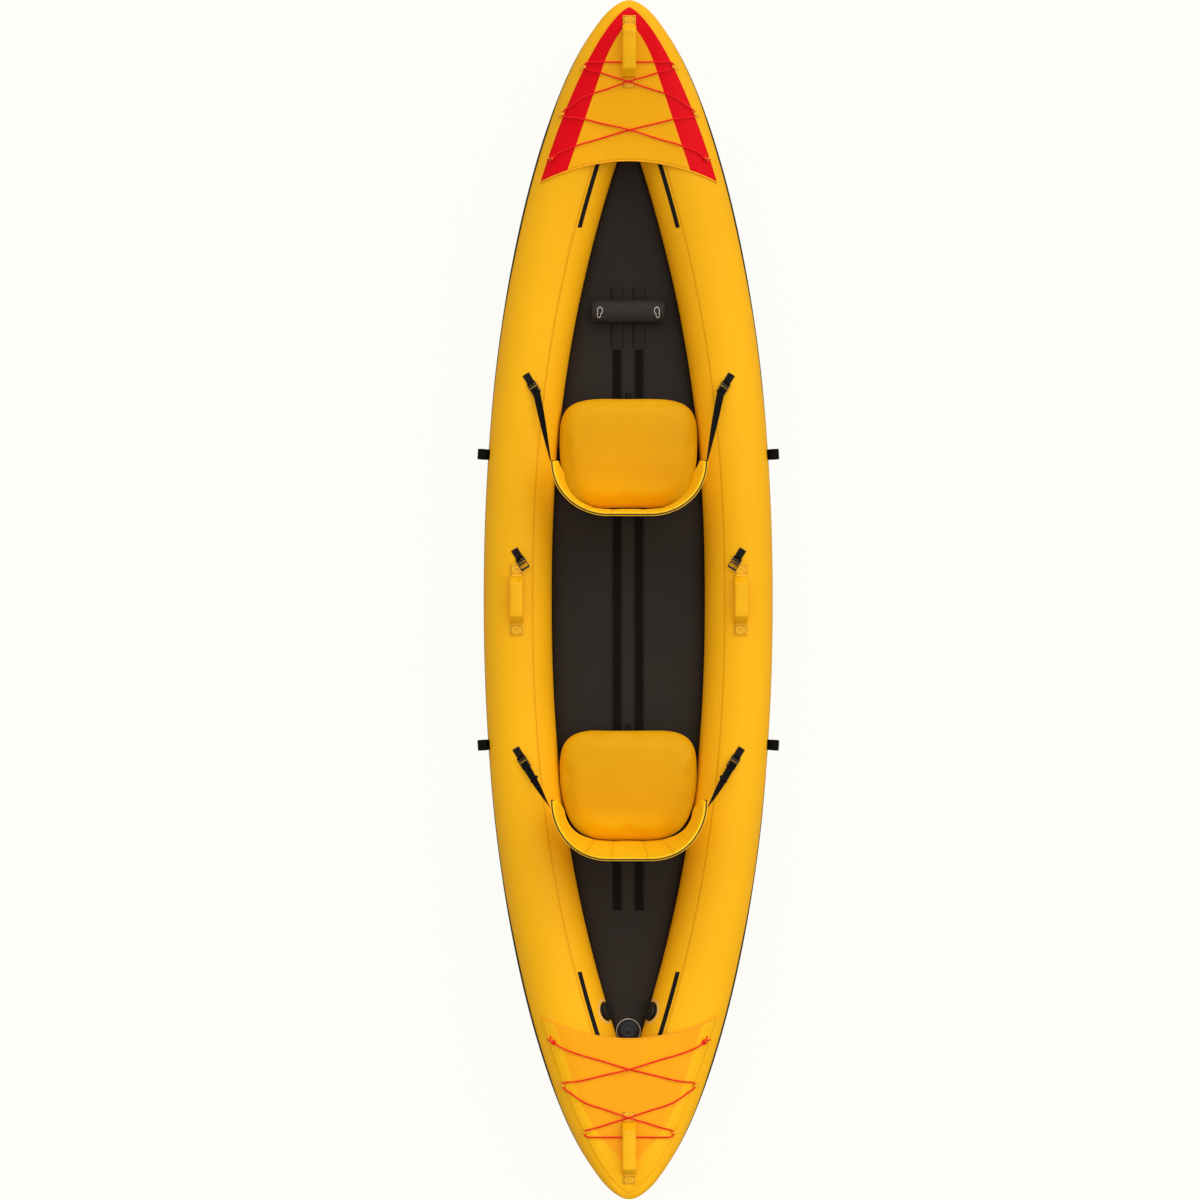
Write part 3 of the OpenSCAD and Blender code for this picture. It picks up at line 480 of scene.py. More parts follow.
def weave_group():
    """Plain weave: threads that rise and dip across each other."""
    tree, g, given, out = new_group("weave", {"Spot": "v", "Pitch": "f"}, {"Height": "f"})
    turns = g.calc("DIVIDE", 2 * math.pi, given["Pitch"])
    waves = [g.calc("SINE", g.calc("MULTIPLY", g.part(given["Spot"], axis), turns)) for axis in "XY"]
    g.feed(out["Height"], g.calc("MULTIPLY_ADD", g.calc("MULTIPLY", *waves), 0.5, 0.5))
    return tree


def drift_group():
    """Slow change of tone over a surface, with finer specks in it."""
    inputs = {"Spot": "v", "Size": "f", "Amount": "f", "Colour": "c"}
    tree, g, given, out = new_group("tone drift", inputs, {"Colour": "c", "Drift": "f"})
    scale = g.calc("DIVIDE", 1.0, given["Size"])
    noise = g.add("ShaderNodeTexNoise", {"Vector": given["Spot"], "Scale": scale, "Detail": 5.0})
    drift = g.ramp(noise.outputs[0], 0.3, 0.7, -1.0, 1.0)
    gain = g.calc("MULTIPLY_ADD", drift, given["Amount"], 1.0)
    g.feed(out["Colour"], g.blend(1.0, given["Colour"], gain, "MULTIPLY"))
    g.feed(out["Drift"], drift)
    return tree


def line_group():
    """Soft-edged line where Across is near zero."""
    tree, g, given, out = new_group("line", {"Across": "f", "Width": "f"}, {"Mask": "f"})
    half = g.calc("MULTIPLY", given["Width"], 0.5)
    inner = g.calc("MULTIPLY", half, 0.45)
    g.feed(out["Mask"], g.ramp(g.calc("ABSOLUTE", given["Across"]), inner, half, 1.0, 0.0))
    return tree


def stitch_group():
    """Row of stitches along a line."""
    inputs = {"Across": "f", "Along": "f", "Width": "f", "Pitch": "f"}
    tree, g, given, out = new_group("stitches", inputs, {"Mask": "f"})
    row = g.use(LINE, Across=given["Across"], Width=given["Width"])["Mask"]
    place = g.calc("FRACT", g.calc("DIVIDE", given["Along"], given["Pitch"]))
    gap = g.ramp(g.calc("ABSOLUTE", g.calc("SUBTRACT", place, 0.5)), 0.32, 0.44, 1.0, 0.0)
    g.feed(out["Mask"], g.calc("MULTIPLY", row, gap))
    return tree


def box_stitch_group():
    """Sewn box with a cross in it, centred on zero."""
    inputs = {"Across": "f", "Along": "f", "Half width": "f", "Half length": "f", "Width": "f"}
    tree, g, given, out = new_group("box stitch", inputs, {"Mask": "f"})
    x = g.calc("ABSOLUTE", given["Across"])
    t = g.calc("ABSOLUTE", given["Along"])
    beyond = g.calc("MAXIMUM", g.calc("SUBTRACT", x, given["Half width"]),
                    g.calc("SUBTRACT", t, given["Half length"]))
    border = g.use(LINE, Across=beyond, Width=given["Width"])["Mask"]
    steep = g.calc("DIVIDE", given["Half width"], given["Half length"])
    slant = g.calc("SUBTRACT", x, g.calc("MULTIPLY", t, steep))
    cross = g.use(LINE, Across=slant, Width=given["Width"])["Mask"]
    inside = g.calc("LESS_THAN", beyond, 0.0)
    g.feed(out["Mask"], g.calc("MAXIMUM", border, g.calc("MULTIPLY", cross, inside)))
    return tree


WEAVE = weave_group()
DRIFT = drift_group()
LINE = line_group()
STITCH = stitch_group()
BOX_STITCH = box_stitch_group()


def finish_of(name, tone, rough, weave=0.0, pitch=0.0018, drift=0.05, drift_size=0.2, marks=(),
              uv_weave=True, coat=0.0, sheen=0.0, specular=0.28, grain=0.0):
    """Material with drifting tone, a woven or grained relief in millimetres, and marks: sewn, printed, and painted
    light.
    """
    made = bpy.data.materials.new(name)
    made.use_nodes = True
    g = Graph(made.node_tree)
    shader = made.node_tree.nodes["Principled BSDF"]
    place = g.add("ShaderNodeTexCoord").outputs
    base = g.use(DRIFT, Spot=place["Object"], Size=drift_size, Amount=drift, Colour=tone)
    tint = base["Colour"]
    threads = g.use(WEAVE, Spot=place["UV" if uv_weave else "Object"], Pitch=pitch)["Height"]
    height = g.calc("MULTIPLY", threads, weave)
    if grain:
        speck = g.add("ShaderNodeTexNoise", {"Vector": place["Object"], "Scale": 900.0, "Detail": 3.0})
        height = g.calc("MULTIPLY_ADD", speck.outputs[0], grain, height)
    for mark in marks:
        mask, shade, rise = mark(g, place)
        if shade is not None:
            tint = g.blend(mask, tint, shade)
        height = g.calc("MULTIPLY_ADD", mask, rise, height)
    bump = g.add("ShaderNodeBump", {"Height": height, "Distance": 0.001, "Strength": 0.8})
    g.feed(shader.inputs["Base Color"], tint)
    g.feed(shader.inputs["Roughness"], g.calc("MULTIPLY_ADD", base["Drift"], 0.05, rough))
    g.feed(shader.inputs["Normal"], bump.outputs[0])
    shader.inputs["Coat Weight"].default_value = coat
    shader.inputs["Coat Roughness"].default_value = 0.25
    shader.inputs["Sheen Weight"].default_value = sheen
    shader.inputs["Specular IOR Level"].default_value = specular
    return made


STITCH_WIDTH, STITCH_PITCH, STITCH_RISE = 0.0016, 0.006, 0.25
BOX_WIDTH, BOX_RISE = 0.0018, -0.3


def across_map(g, place, at, mirrored, source="UV"):
    """Distance across a piece's own map from one line, or from that line on both sides."""
    value = g.part(place[source], "X")
    if mirrored:
        value = g.calc("ABSOLUTE", value)
    return g.calc("SUBTRACT", value, at)


def line_mark(at, width, shade, rise, mirrored=False, source="UV"):
    """Line along a piece."""
    def mark(g, place):
        across = across_map(g, place, at, mirrored, source)
        return g.use(LINE, Across=across, Width=width)["Mask"], shade, rise
    return mark


def stitch_mark(at, shade, mirrored=False):
    """Row of stitches along a piece."""
    def mark(g, place):
        inputs = {"Width": STITCH_WIDTH, "Pitch": STITCH_PITCH}
        across = across_map(g, place, at, mirrored)
        run = g.part(place["UV"], "Y")
        return g.use(STITCH, Across=across, Along=run, **inputs)["Mask"], shade, STITCH_RISE
    return mark


def box_mark(at, half_width, half_length, shade):
    """Sewn boxes at both ends of a strip."""
    def mark(g, place):
        run = g.calc("SUBTRACT", g.calc("ABSOLUTE", g.part(place["UV"], "Y")), at)
        inputs = {"Half width": half_width, "Half length": half_length, "Width": BOX_WIDTH}
        across = g.part(place["UV"], "X")
        return g.use(BOX_STITCH, Across=across, Along=run, **inputs)["Mask"], shade, BOX_RISE
    return mark


def crease_mark(size, rise):
    """Shallow folds that run over slack fabric."""
    def mark(g, place):
        wave = g.add("ShaderNodeTexNoise", {"Vector": place["Object"], "Scale": 1 / size, "Detail": 1.0})
        return wave.outputs[0], None, rise
    return mark


def deck_band_mark(shade, law):
    """Coloured bands along a deck's sides; law gives their inner edge from the distance past the corner."""
    def mark(g, place):
        x = g.calc("ABSOLUTE", g.part(place["Object"], "X"))
        past = g.calc("SUBTRACT", g.calc("ABSOLUTE", g.part(place["Object"], "Y")), 1.37)
        beyond = g.calc("SUBTRACT", x, law(g, past))
        return g.ramp(beyond, -0.0006, 0.0006), shade, 0.0
    return mark


def bow_band_edge(g, past):
    bend = g.calc("MAXIMUM", g.calc("SUBTRACT", past, 0.32), 0.0)
    curve = g.calc("MULTIPLY", g.calc("MULTIPLY", bend, bend), -1.7)
    return g.calc("ADD", g.calc("MULTIPLY_ADD", past, -0.3586, 0.197), curve)


def stern_band_edge(g, past):
    cubic = g.calc("MULTIPLY_ADD", past, -3.1, 0.966)
    square = g.calc("MULTIPLY_ADD", past, cubic, -0.4147)
    return g.calc("MULTIPLY_ADD", past, square, 0.2336)


def painted_rear_light_mark(seat_y, shade):
    """Painted light: a lighter tone towards a cushion's rear edge, brightening the slope that turns down by the
    backrest.
    """
    def mark(g, place):
        return g.ramp(g.part(place["Object"], "Y"), seat_y - 0.16, seat_y - 0.05, 1.0, 0.0), shade, 0.0
    return mark


def sole_mark(shade, side):
    """Printed outline of a foot on the footrest: a broad ball and a narrower heel as one closed line."""
    def mark(g, place):
        x = g.calc("MULTIPLY", g.part(place["Object"], "X"), side)
        y = g.part(place["Object"], "Y")
        rims = []
        ball, heel = (0.0925, -0.003, 0.0082, 0.0114), (0.0955, -0.0165, 0.0056, 0.0082)
        for across, ahead, half_width, half_length in (ball, heel):
            a = g.calc("DIVIDE", g.calc("SUBTRACT", x, across), half_width)
            b = g.calc("DIVIDE", g.calc("SUBTRACT", y, FOOTREST_PLACE + ahead), half_length)
            reach = g.calc("SQRT", g.calc("ADD", g.calc("POWER", a, 2.0), g.calc("POWER", b, 2.0)))
            rims.append(g.calc("MULTIPLY", g.calc("SUBTRACT", reach, 1.0), half_width))
        return g.use(LINE, Across=g.calc("MINIMUM", *rims), Width=0.0022)["Mask"], shade, 0.0
    return mark


YELLOW = colour(246, 179, 18)
SEAM_YELLOW = colour(226, 156, 2)
RED = colour(226, 1, 18)
THREAD_BROWN = colour(150, 92, 20)
PALE_PRINT = (214, 208, 196)
ZIP_LINE = math.radians(118) * TUBE_RADIUS
BACK_SEAMS = (0.057, 0.138)

# Settings that several finishes share
COVER = {"rough": 0.5, "specular": 0.1, "weave": 0.05, "drift": 0.035, "drift_size": 0.5}
DECK = {"rough": 0.5, "specular": 0.09, "weave": 0.06, "drift": 0.04, "drift_size": 0.3}
HEM = {"rough": 0.5, "weave": 0.1, "drift": 0.06, "drift_size": 0.03, "uv_weave": False}
SEAT = {"rough": 0.52, "specular": 0.12, "weave": 0.04, "drift": 0.03, "drift_size": 0.22, "uv_weave": False}
BLACK_WEB = {"weave": 0.25, "pitch": 0.0026, "drift": 0.12, "drift_size": 0.05}
YELLOW_WEB = {"rough": 0.6, "weave": 0.2, "pitch": 0.0026, "drift": 0.06, "drift_size": 0.05}
HEM_MARKS = (stitch_mark(0.004, SEAM_YELLOW), line_mark(0.014, 0.003, colour(240, 172, 4), -0.4))
# Painted light: colour of the lighter tone on each cushion's rear slope
REAR_PAINTED_LIGHT = {"front": colour(230, 175, 2), "rear": colour(236, 182, 2)}

cover_finish = finish_of(
    "cover yellow", YELLOW, **COVER,
    marks=(crease_mark(0.11, 1.4), line_mark(ZIP_LINE, 0.006, SEAM_YELLOW, -0.8),
           stitch_mark(ZIP_LINE - 0.005, SEAM_YELLOW)))
nose_finish = finish_of("nose yellow", YELLOW, **COVER)
sleeve_finish = finish_of(
    "sleeve yellow", colour(242, 176, 0), 0.5, specular=0.2, weave=0.08, drift=0.04, drift_size=0.05,
    marks=(crease_mark(0.03, 1.0), line_mark(0.5, 0.03, SEAM_YELLOW, -0.5)))
# Seat finishes carry painted light towards each cushion's rear edge
seat_finishes = {
    seat: finish_of(seat + " seat yellow", colour(222, 160, 2), **SEAT,
                    marks=(crease_mark(0.07, 1.6), painted_rear_light_mark(seat_y, REAR_PAINTED_LIGHT[seat])))
    for seat, seat_y in SEAT_PLACES.items()}
back_finish = finish_of(
    "backrest yellow", colour(254, 196, 16), 0.5, specular=0.2, weave=0.04, drift=0.03, drift_size=0.2,
    marks=tuple(
        mark for seam in BACK_SEAMS for mark in (
            line_mark(seam, 0.003, colour(232, 156, 4), -0.5, mirrored=True),
            stitch_mark(seam + 0.004, colour(238, 166, 4), mirrored=True))))
piping_finish = finish_of(
    "piping brown", colour(44, 28, 16), 0.55, weave=0.1, drift=0.15, drift_size=0.02, uv_weave=False)
deck_finishes = {
    "bow": finish_of(
        "bow deck", colour(246, 173, 14), **DECK,
        marks=(crease_mark(0.12, 1.5), deck_band_mark(RED, bow_band_edge),
               stitch_mark(0.003, colour(206, 6, 16)))),
    "stern": finish_of(
        "stern deck", colour(247, 165, 16), **DECK,
        marks=(crease_mark(0.12, 1.5), deck_band_mark(colour(247, 182, 18), stern_band_edge)) + HEM_MARKS),
}
hem_finishes = {
    "bow": finish_of("hem orange", colour(252, 176, 10), **HEM),
    "stern": finish_of("stern hem", colour(246, 170, 8), **HEM),
}
edge_finishes = {"bow": hem_finishes["bow"], "stern": nose_finish}
cord_finish = finish_of(
    "cord red", colour(240, 2, 16), 0.6, specular=0.15, weave=0.35, pitch=0.0022, drift=0.1,
    drift_size=0.004, uv_weave=False, sheen=0.1)
floor_finish = finish_of(
    "floor grey", colour(40, 34, 29), 0.6, specular=0.14, weave=0.12, pitch=0.003, drift=0.12,
    drift_size=0.4, marks=(crease_mark(0.16, 2.0),))
web_finish = finish_of(
    "webbing black", colour(15, 13, 11), 0.75, specular=0.08, **BLACK_WEB,
    marks=(stitch_mark(0.0125, colour(60, 54, 48), mirrored=True),))
tab_finish = finish_of(
    "tab black", colour(14, 12, 11), 0.7, specular=0.06, **BLACK_WEB,
    marks=(box_mark(0.006, 0.009, 0.009, colour(66, 60, 54)),))
tape_web_finish = finish_of(
    "footrest tape grey", colour(34, 31, 30), 0.62, specular=0.14, weave=0.2, pitch=0.0026, drift=0.1,
    drift_size=0.05, marks=(stitch_mark(0.0175, colour(24, 21, 20), mirrored=True),))
side_web_finish = finish_of(
    "side handle webbing", YELLOW, **YELLOW_WEB, marks=(box_mark(0.097, 0.0165, 0.0135, THREAD_BROWN),))
end_web_finish = finish_of(
    "end handle webbing", YELLOW, **YELLOW_WEB, marks=(box_mark(0.0965, 0.0165, 0.0098, THREAD_BROWN),))
loop_web_finish = finish_of(
    "cord loop yellow", colour(244, 176, 28), 0.6, weave=0.2, pitch=0.002, drift=0.06, drift_size=0.02)
skin_finish = finish_of(
    "bottom skin black", colour(36, 36, 37), 0.42, weave=0.16, pitch=0.004, drift=0.14, drift_size=0.35,
    marks=(crease_mark(0.13, 2.2),))
tape_finish = finish_of(
    "seam tape black", colour(20, 20, 21), 0.5, weave=0.12, pitch=0.003, drift=0.15, drift_size=0.2,
    marks=(line_mark(0.02, 0.002, colour(34, 34, 34), 0.3, mirrored=True),))
zip_finish = finish_of(
    "zip tape black", colour(14, 13, 13), 0.7, specular=0.1, weave=0.2, pitch=0.0016, drift=0.1,
    drift_size=0.02, marks=(stitch_mark(0.0058, colour(62, 58, 54), mirrored=True),))
footrest_finish = finish_of(
    "footrest charcoal", colour(46, 43, 42), 0.6, specular=0.16, weave=0.15, pitch=0.0024, drift=0.1,
    drift_size=0.06, uv_weave=False,
    marks=(crease_mark(0.03, 1.6),
           line_mark(0.0375, 0.002, colour(40, 37, 35), -0.3, mirrored=True, source="Object"),
           line_mark(0.079, 0.0016, colour(44, 41, 39), -0.2, mirrored=True, source="Object"))
    + tuple(sole_mark(colour(*PALE_PRINT), side) for side in (-1, 1)))
plug_finish = finish_of(
    "plug rubber", colour(17, 15, 14), 0.62, specular=0.1, drift=0.1, drift_size=0.01, grain=0.06)
track_finish = finish_of(
    "fin track", colour(46, 46, 48), 0.24, drift=0.1, drift_size=0.04, grain=0.04, coat=0.2)

# Plain moulded finishes: screen colour, roughness, drift of tone and its size, grain
MOULDED = {
    "zip coil": ((38, 36, 36), 0.35, 0.1, 0.01, 0.0),
    "moulded plastic": ((24, 24, 25), 0.38, 0.15, 0.02, 0.08),
    "plunger plastic": ((62, 61, 60), 0.4, 0.1, 0.01, 0.05),
    "fin base rubber": ((56, 56, 58), 0.4, 0.14, 0.06, 0.12),
    "fin black": ((28, 28, 30), 0.3, 0.12, 0.05, 0.06),
    "printed ring": (PALE_PRINT, 0.55, 0.08, 0.02, 0.05),
}
moulded = {
    name: finish_of(name, colour(*tone), rough, drift=drift, drift_size=size, grain=grain)
    for name, (tone, rough, drift, size, grain) in MOULDED.items()}


# Mesh helpers
def shaped_grid(columns, rows, place, chart=None, wrap=False, shut=False, flip=False):
    """Grid whose points are moved by place(u, v); chart(u, v) gives its map in metres; shut caps a tube."""
    bm = bmesh.new()
    layer = bm.loops.layers.uv.new("UVMap")
    bmesh.ops.create_grid(bm, x_segments=columns, y_segments=rows, size=1)
    for face in bm.faces:
        for loop in face.loops:
            u, v = (loop.vert.co.x + 1) / 2, (loop.vert.co.y + 1) / 2
            loop[layer].uv = chart(u, v) if chart else (u, v)
    for vert in bm.verts:
        vert.co = place((vert.co.x + 1) / 2, (vert.co.y + 1) / 2)
    if wrap:
        bmesh.ops.remove_doubles(bm, verts=bm.verts, dist=1e-6)
        bmesh.ops.recalc_face_normals(bm, faces=bm.faces)
    if shut:
        bmesh.ops.holes_fill(bm, edges=[edge for edge in bm.edges if edge.is_boundary], sides=0)
        bmesh.ops.recalc_face_normals(bm, faces=bm.faces)
    if flip:
        bmesh.ops.reverse_faces(bm, faces=bm.faces)
    return bm


def face_out(bm, way):
    """Turns a shape over where most of its faces look against way(spot)."""
    looks = [face.normal.dot(way(face.calc_center_median())) for face in bm.faces]
    if sum(1 if look > 0 else -1 for look in looks) < 0:
        bmesh.ops.reverse_faces(bm, faces=bm.faces)
    return bm


def blank():
    bm = bmesh.new()
    bm.loops.layers.uv.new("UVMap")
    return bm


def bevelled(bm, edges, offset, segments=2):
    bmesh.ops.bevel(bm, geom=edges, offset=offset, affect="EDGES", segments=segments, profile=0.5,
                    material=-1)


def turned(profile, matrix, steps, ribs=0, rib_depth=0.0):
    """Round piece from a closed or axis-to-axis profile of radius and height, ribbed where it is widest."""
    widest = max(radius for radius, _ in profile)

    def place(u, v):
        radius, height = profile[round(v * (len(profile) - 1))]
        if ribs and radius > 0.97 * widest:
            radius -= rib_depth * (0.5 - 0.5 * math.cos(ribs * u * 2 * math.pi))
        turn = 2 * math.pi * u
        return Vector((radius * math.cos(turn), radius * math.sin(turn), height))

    bm = shaped_grid(steps, len(profile) - 1, place, wrap=True)
    bmesh.ops.dissolve_degenerate(bm, edges=bm.edges, dist=1e-6)
    return set_in(bm, matrix)


def band(inner, outer, width, matrix, steps=24):
    """Short tube of webbing round an axis."""
    half = width / 2
    profile = [(inner, -half), (outer, -half), (outer, half), (inner, half), (inner, -half)]
    return turned(profile, matrix, steps=steps)


def set_in(bm, matrix):
    bm.transform(matrix)
    if matrix.determinant() < 0:
        bmesh.ops.reverse_faces(bm, faces=bm.faces)
    return bm


def block(low, high, matrix, corner=0.0, edge=0.0008):
    """Bevelled bar between two corners, its upright edges rounded by corner."""
    bm = blank()
    low, high = Vector(low), Vector(high)
    bmesh.ops.create_cube(bm, size=1)
    bmesh.ops.scale(bm, vec=high - low, verts=bm.verts)
    bmesh.ops.translate(bm, vec=(low + high) / 2, verts=bm.verts)
    if corner:
        upright = [e for e in bm.edges if abs(e.verts[0].co.z - e.verts[1].co.z) > 1e-6]
        bevelled(bm, upright, corner, 6)
    bevelled(bm, [e for e in bm.edges if e.calc_face_angle(0) > 0.9], edge)
    return set_in(bm, matrix)


def merged(shapes):
    whole = blank()
    for bm in shapes:
        mesh = bpy.data.meshes.new("shape")
        bm.to_mesh(mesh)
        bm.free()
        whole.from_mesh(mesh)
        bpy.data.meshes.remove(mesh)
    return whole


def settle_in(obj, body, slot, nodes):
    if body:
        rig.ride(obj, body)
    if nodes:
        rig.replaces(obj, *nodes)
    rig.slot(obj, slot)
    return obj


def piece(name, shapes, finish, slot, nodes=(), body="hull", wall=0.0, sharp=35, smooth=0):
    """Object from one shape or several; wall thickens it inwards."""
    bm = merged(shapes) if isinstance(shapes, (list, tuple)) else shapes
    mesh = bpy.data.meshes.new(name)
    bm.to_mesh(mesh)
    bm.free()
    mesh.materials.append(finish)
    mesh.shade_smooth()
    mesh.set_sharp_from_angle(angle=math.radians(sharp))
    obj = bpy.data.objects.new(name, mesh)
    scene.collection.objects.link(obj)
    if wall:
        thick = obj.modifiers.new("wall", "SOLIDIFY")
        thick.thickness = wall
        thick.offset = -1
    if smooth:
        round_off = obj.modifiers.new("round", "SUBSURF")
        round_off.levels = smooth
        round_off.render_levels = smooth
    return settle_in(obj, body, slot, nodes)


def swept(name, points, radius, finish, slot, nodes=(), body="hull", closed=False, sides=3, steps=5):
    """Round cord or piping through points."""
    data = bpy.data.curves.new(name, "CURVE")
    data.dimensions = "3D"
    data.bevel_depth = radius
    data.bevel_resolution = sides
    data.resolution_u = steps
    data.use_fill_caps = True
    spline = data.splines.new("BEZIER")
    spline.bezier_points.add(len(points) - 1)
    for knot, spot in zip(spline.bezier_points, points):
        knot.co = spot
        knot.handle_left_type = "AUTO"
        knot.handle_right_type = "AUTO"
    spline.use_cyclic_u = closed
    data.materials.append(finish)
    obj = bpy.data.objects.new(name, data)
    scene.collection.objects.link(obj)
    return settle_in(obj, body, slot, nodes)


def open_round(bm, matrix, radius):
    """Clears the faces round a fitting's axis, so that its bore stays open."""
    back = matrix.inverted()
    inside = []
    for face in bm.faces:
        spot = back @ face.calc_center_median()
        if math.hypot(spot.x, spot.y) < radius and abs(spot.z) < 0.03:
            inside.append(face)
    bmesh.ops.delete(bm, geom=inside, context="FACES")


def length_of(points):
    return sum((b - a).length for a, b in zip(points, points[1:]))


# Deck cords, laid first: place across, distance from the deck's tip, height over the deck
CORD_COURSE = (
    (-0.249, 0.459, 0.0034), (-0.242, 0.4535, 0.0034), (-0.222, 0.441, 0.0026), (-0.18, 0.425, 0.0014),
    (-0.09, 0.399, 0), (0, 0.373, 0), (0.08, 0.3545, 0), (0.15, 0.3385, 0.0016), (0.184, 0.3325, 0.0028),
    (0.2036, 0.3294, 0.0038), (0.2112, 0.3236, 0.0038), (0.2118, 0.3162, 0.0038), (0.2069, 0.3096, 0.0038),
    (0.19, 0.3, 0.0028), (0.14, 0.271, 0.001), (0.07, 0.2485, 0), (0.024, 0.2345, 0.0025),
    (0, 0.2268, 0.0025), (-0.024, 0.2198, 0.0025), (-0.05, 0.212, 0.001), (-0.097, 0.1975, 0.001),
    (-0.122, 0.1911, 0.0024),
    (-0.135, 0.1873, 0.0034), (-0.1403, 0.1838, 0.0034), (-0.1423, 0.1777, 0.0034),
    (-0.1396, 0.1709, 0.0034), (-0.133, 0.1679, 0.0034), (-0.1, 0.1672, 0.001), (-0.05, 0.1674, 0),
    (0, 0.1674, 0),
)
CORD_GAP = 0.0013
CROSSING_RISE = 2 * CORD_RADIUS + 0.0015
CROSSING_REACH = 0.06
CROSSING_END = 0.19
LOOP_STOPS = (0, 10, 23)
KNOT_SIZE, KNOT_STEPS, KNOT_SHIFT = 0.0023, 24, (0.006, 0.002)
TAILS = {"tail": 28, "stub": -24}
TAIL_LENGTH, TAIL_RADIUS = 0.019, CORD_RADIUS * 0.9
CORD_LOOP_WIDTH, CORD_LOOP_WALL = 0.007, 0.0014
CORD_TAB_ENDS, CORD_TAB_WIDTH, CORD_TAB_WALL = (-0.004, 0.017), 0.009, 0.0012


def cord_spot(x, inset, lift, end):
    y = DECK_TIP - inset
    return Vector((x, end * y, deck_z(x, y) + CORD_GAP + CORD_RADIUS + lift))


def cord_route(end):
    first = [cord_spot(*stop, end) for stop in CORD_COURSE]
    second = []
    for x, inset, lift in reversed(CORD_COURSE[:-1]):
        hump = CROSSING_RISE * max(0.0, 1 - (x / CROSSING_REACH) ** 2) ** 2 if inset > CROSSING_END else 0
        second.append(cord_spot(-x, inset, lift + hump, end))
    return first + second


def knot_points(centre):
    """Closed line of an overhand knot."""
    points = []
    for step in range(KNOT_STEPS):
        turn = 2 * math.pi * step / KNOT_STEPS
        loop = Vector((math.sin(turn) + 2 * math.sin(2 * turn), math.cos(turn) - 2 * math.cos(2 * turn),
                       -1.3 * math.sin(3 * turn)))
        points.append(centre + KNOT_SIZE * loop)
    return points


def cord_loop(stop, side, end):
    """Webbing ring round the cord and the tab that holds it to the deck's edge."""
    a = cord_spot(*CORD_COURSE[stop], end)
    b = cord_spot(*CORD_COURSE[stop + 1], end)
    axis = (b - a).normalized()
    across = axis.cross(Vector((0, 0, 1))).normalized()
    centre = (a + b) / 2
    inner = CORD_RADIUS + CORD_GAP
    ring = band(inner, inner + CORD_LOOP_WALL, CORD_LOOP_WIDTH,
                frame_matrix(across, axis.cross(across), axis, centre))
    away = 1 if centre.x > 0 else -1

    def place(u, v):
        x = centre.x + away * mix(*CORD_TAB_ENDS, u)
        y = centre.y + (v - 0.5) * CORD_TAB_WIDTH
        lift = mix(0.004, 0.0006, ease(u * 1.6))
        return Vector((x, y, deck_z(x, y) + lift))

    tab = shaped_grid(8, 3, place, lambda u, v: (u * 0.021, v * CORD_TAB_WIDTH))
    bmesh.ops.solidify(tab, geom=tab.faces, thickness=CORD_TAB_WALL)
    bmesh.ops.recalc_face_normals(tab, faces=tab.faces)
    shapes = [ring, tab]
    return [set_in(shape, MIRROR) for shape in shapes] if side < 0 else shapes


for end_name, end in ENDS.items():
    route = cord_route(end)
    cord = swept(end_name + "_elastic_cord", route, CORD_RADIUS, cord_finish, "cord_red",
                 (end_name + "_cord",), sides=4, steps=6)
    knots = []
    for side_name, tip, inward in (("port", route[0], route[1]), ("starboard", route[-1], route[-2])):
        out = (tip - inward).normalized()
        name = end_name + "_" + side_name
        centre = tip - out * KNOT_SHIFT[0] + Vector((0, 0, KNOT_SHIFT[1]))
        knots.append(swept(name + "_knot", knot_points(centre), TAIL_RADIUS, cord_finish, "cord_red",
                           closed=True))
        for tail_name, turn in TAILS.items():
            way = Matrix.Rotation(math.radians(turn) * (1 if tip.x * end > 0 else -1), 3, "Z") @ out
            tail = []
            for share in (-0.7, 0, 0.5, 1):
                spot = centre + way * TAIL_LENGTH * share
                lift = CORD_RADIUS + 0.0005 + 0.004 * (1 - abs(share))
                tail.append(Vector((spot.x, spot.y, deck_z(spot.x, spot.y) + lift)))
            knots.append(swept(name + "_" + tail_name, tail, TAIL_RADIUS, cord_finish, "cord_red"))
    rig.cord(cord, exit=route[0], length=length_of(route), diameter=2 * CORD_RADIUS, far_end="knot",
            stiffness="limp", lay="taut", with_pieces=knots)
    loops = []
    for stop in LOOP_STOPS:
        for side in SIDES.values():
            loops += cord_loop(stop, side, end)
    piece(end_name + "_cord_webbing_loops", loops, loop_web_finish, "cover_yellow",
          (end_name + "_cord_loops",))


# Side tubes, bottom skin and seam tapes
TAPE_WIDTH = 0.046
TAPE_REACH = math.degrees(TAPE_WIDTH / (2 * TUBE_RADIUS))
COVER_WALL = 0.0016
VALVE_HOLE = 0.0215
SEAM_CLIMB, CLIMB_FROM, CLIMB_RUN, DROP_FROM, DROP_RUN = 24, 0.45, 0.75, 1.48, 0.38
SKIN_FLANK, NOSE_FLANK, NOSE_START = 0.3, 0.42, 1.8
valve_frames = {name: sided(facet_frame(VALVE_PLACE, VALVE_ANGLE), side) for name, side in SIDES.items()}
floor_slope = slope_frame(0, FLOOR_VALVE_PLACE, floor_top(FLOOR_VALVE_PLACE))
valve_frames["floor"] = frame_matrix(floor_slope.col[1].xyz, -floor_slope.col[0].xyz,
                                     floor_slope.col[2].xyz, floor_slope.translation)


def seam_climb(y):
    """Degrees by which the seam between cover and bottom skin climbs towards the ends."""
    return SEAM_CLIMB * ease((abs(y) - CLIMB_FROM) / CLIMB_RUN) * (1 - ease((abs(y) - DROP_FROM) / DROP_RUN))


def tube_cover(side):
    def angle(u, y):
        return mix(COVER_ANGLES[0] + seam_climb(y), COVER_ANGLES[1], u)

    def chart(u, v):
        y = along(v)
        return math.radians(angle(u, y)) * TUBE_RADIUS, y

    return shaped_grid(64, 400, lambda u, v: tube_spot(along(v), angle(u, along(v)), SETTLE, side), chart,
                       flip=side > 0)


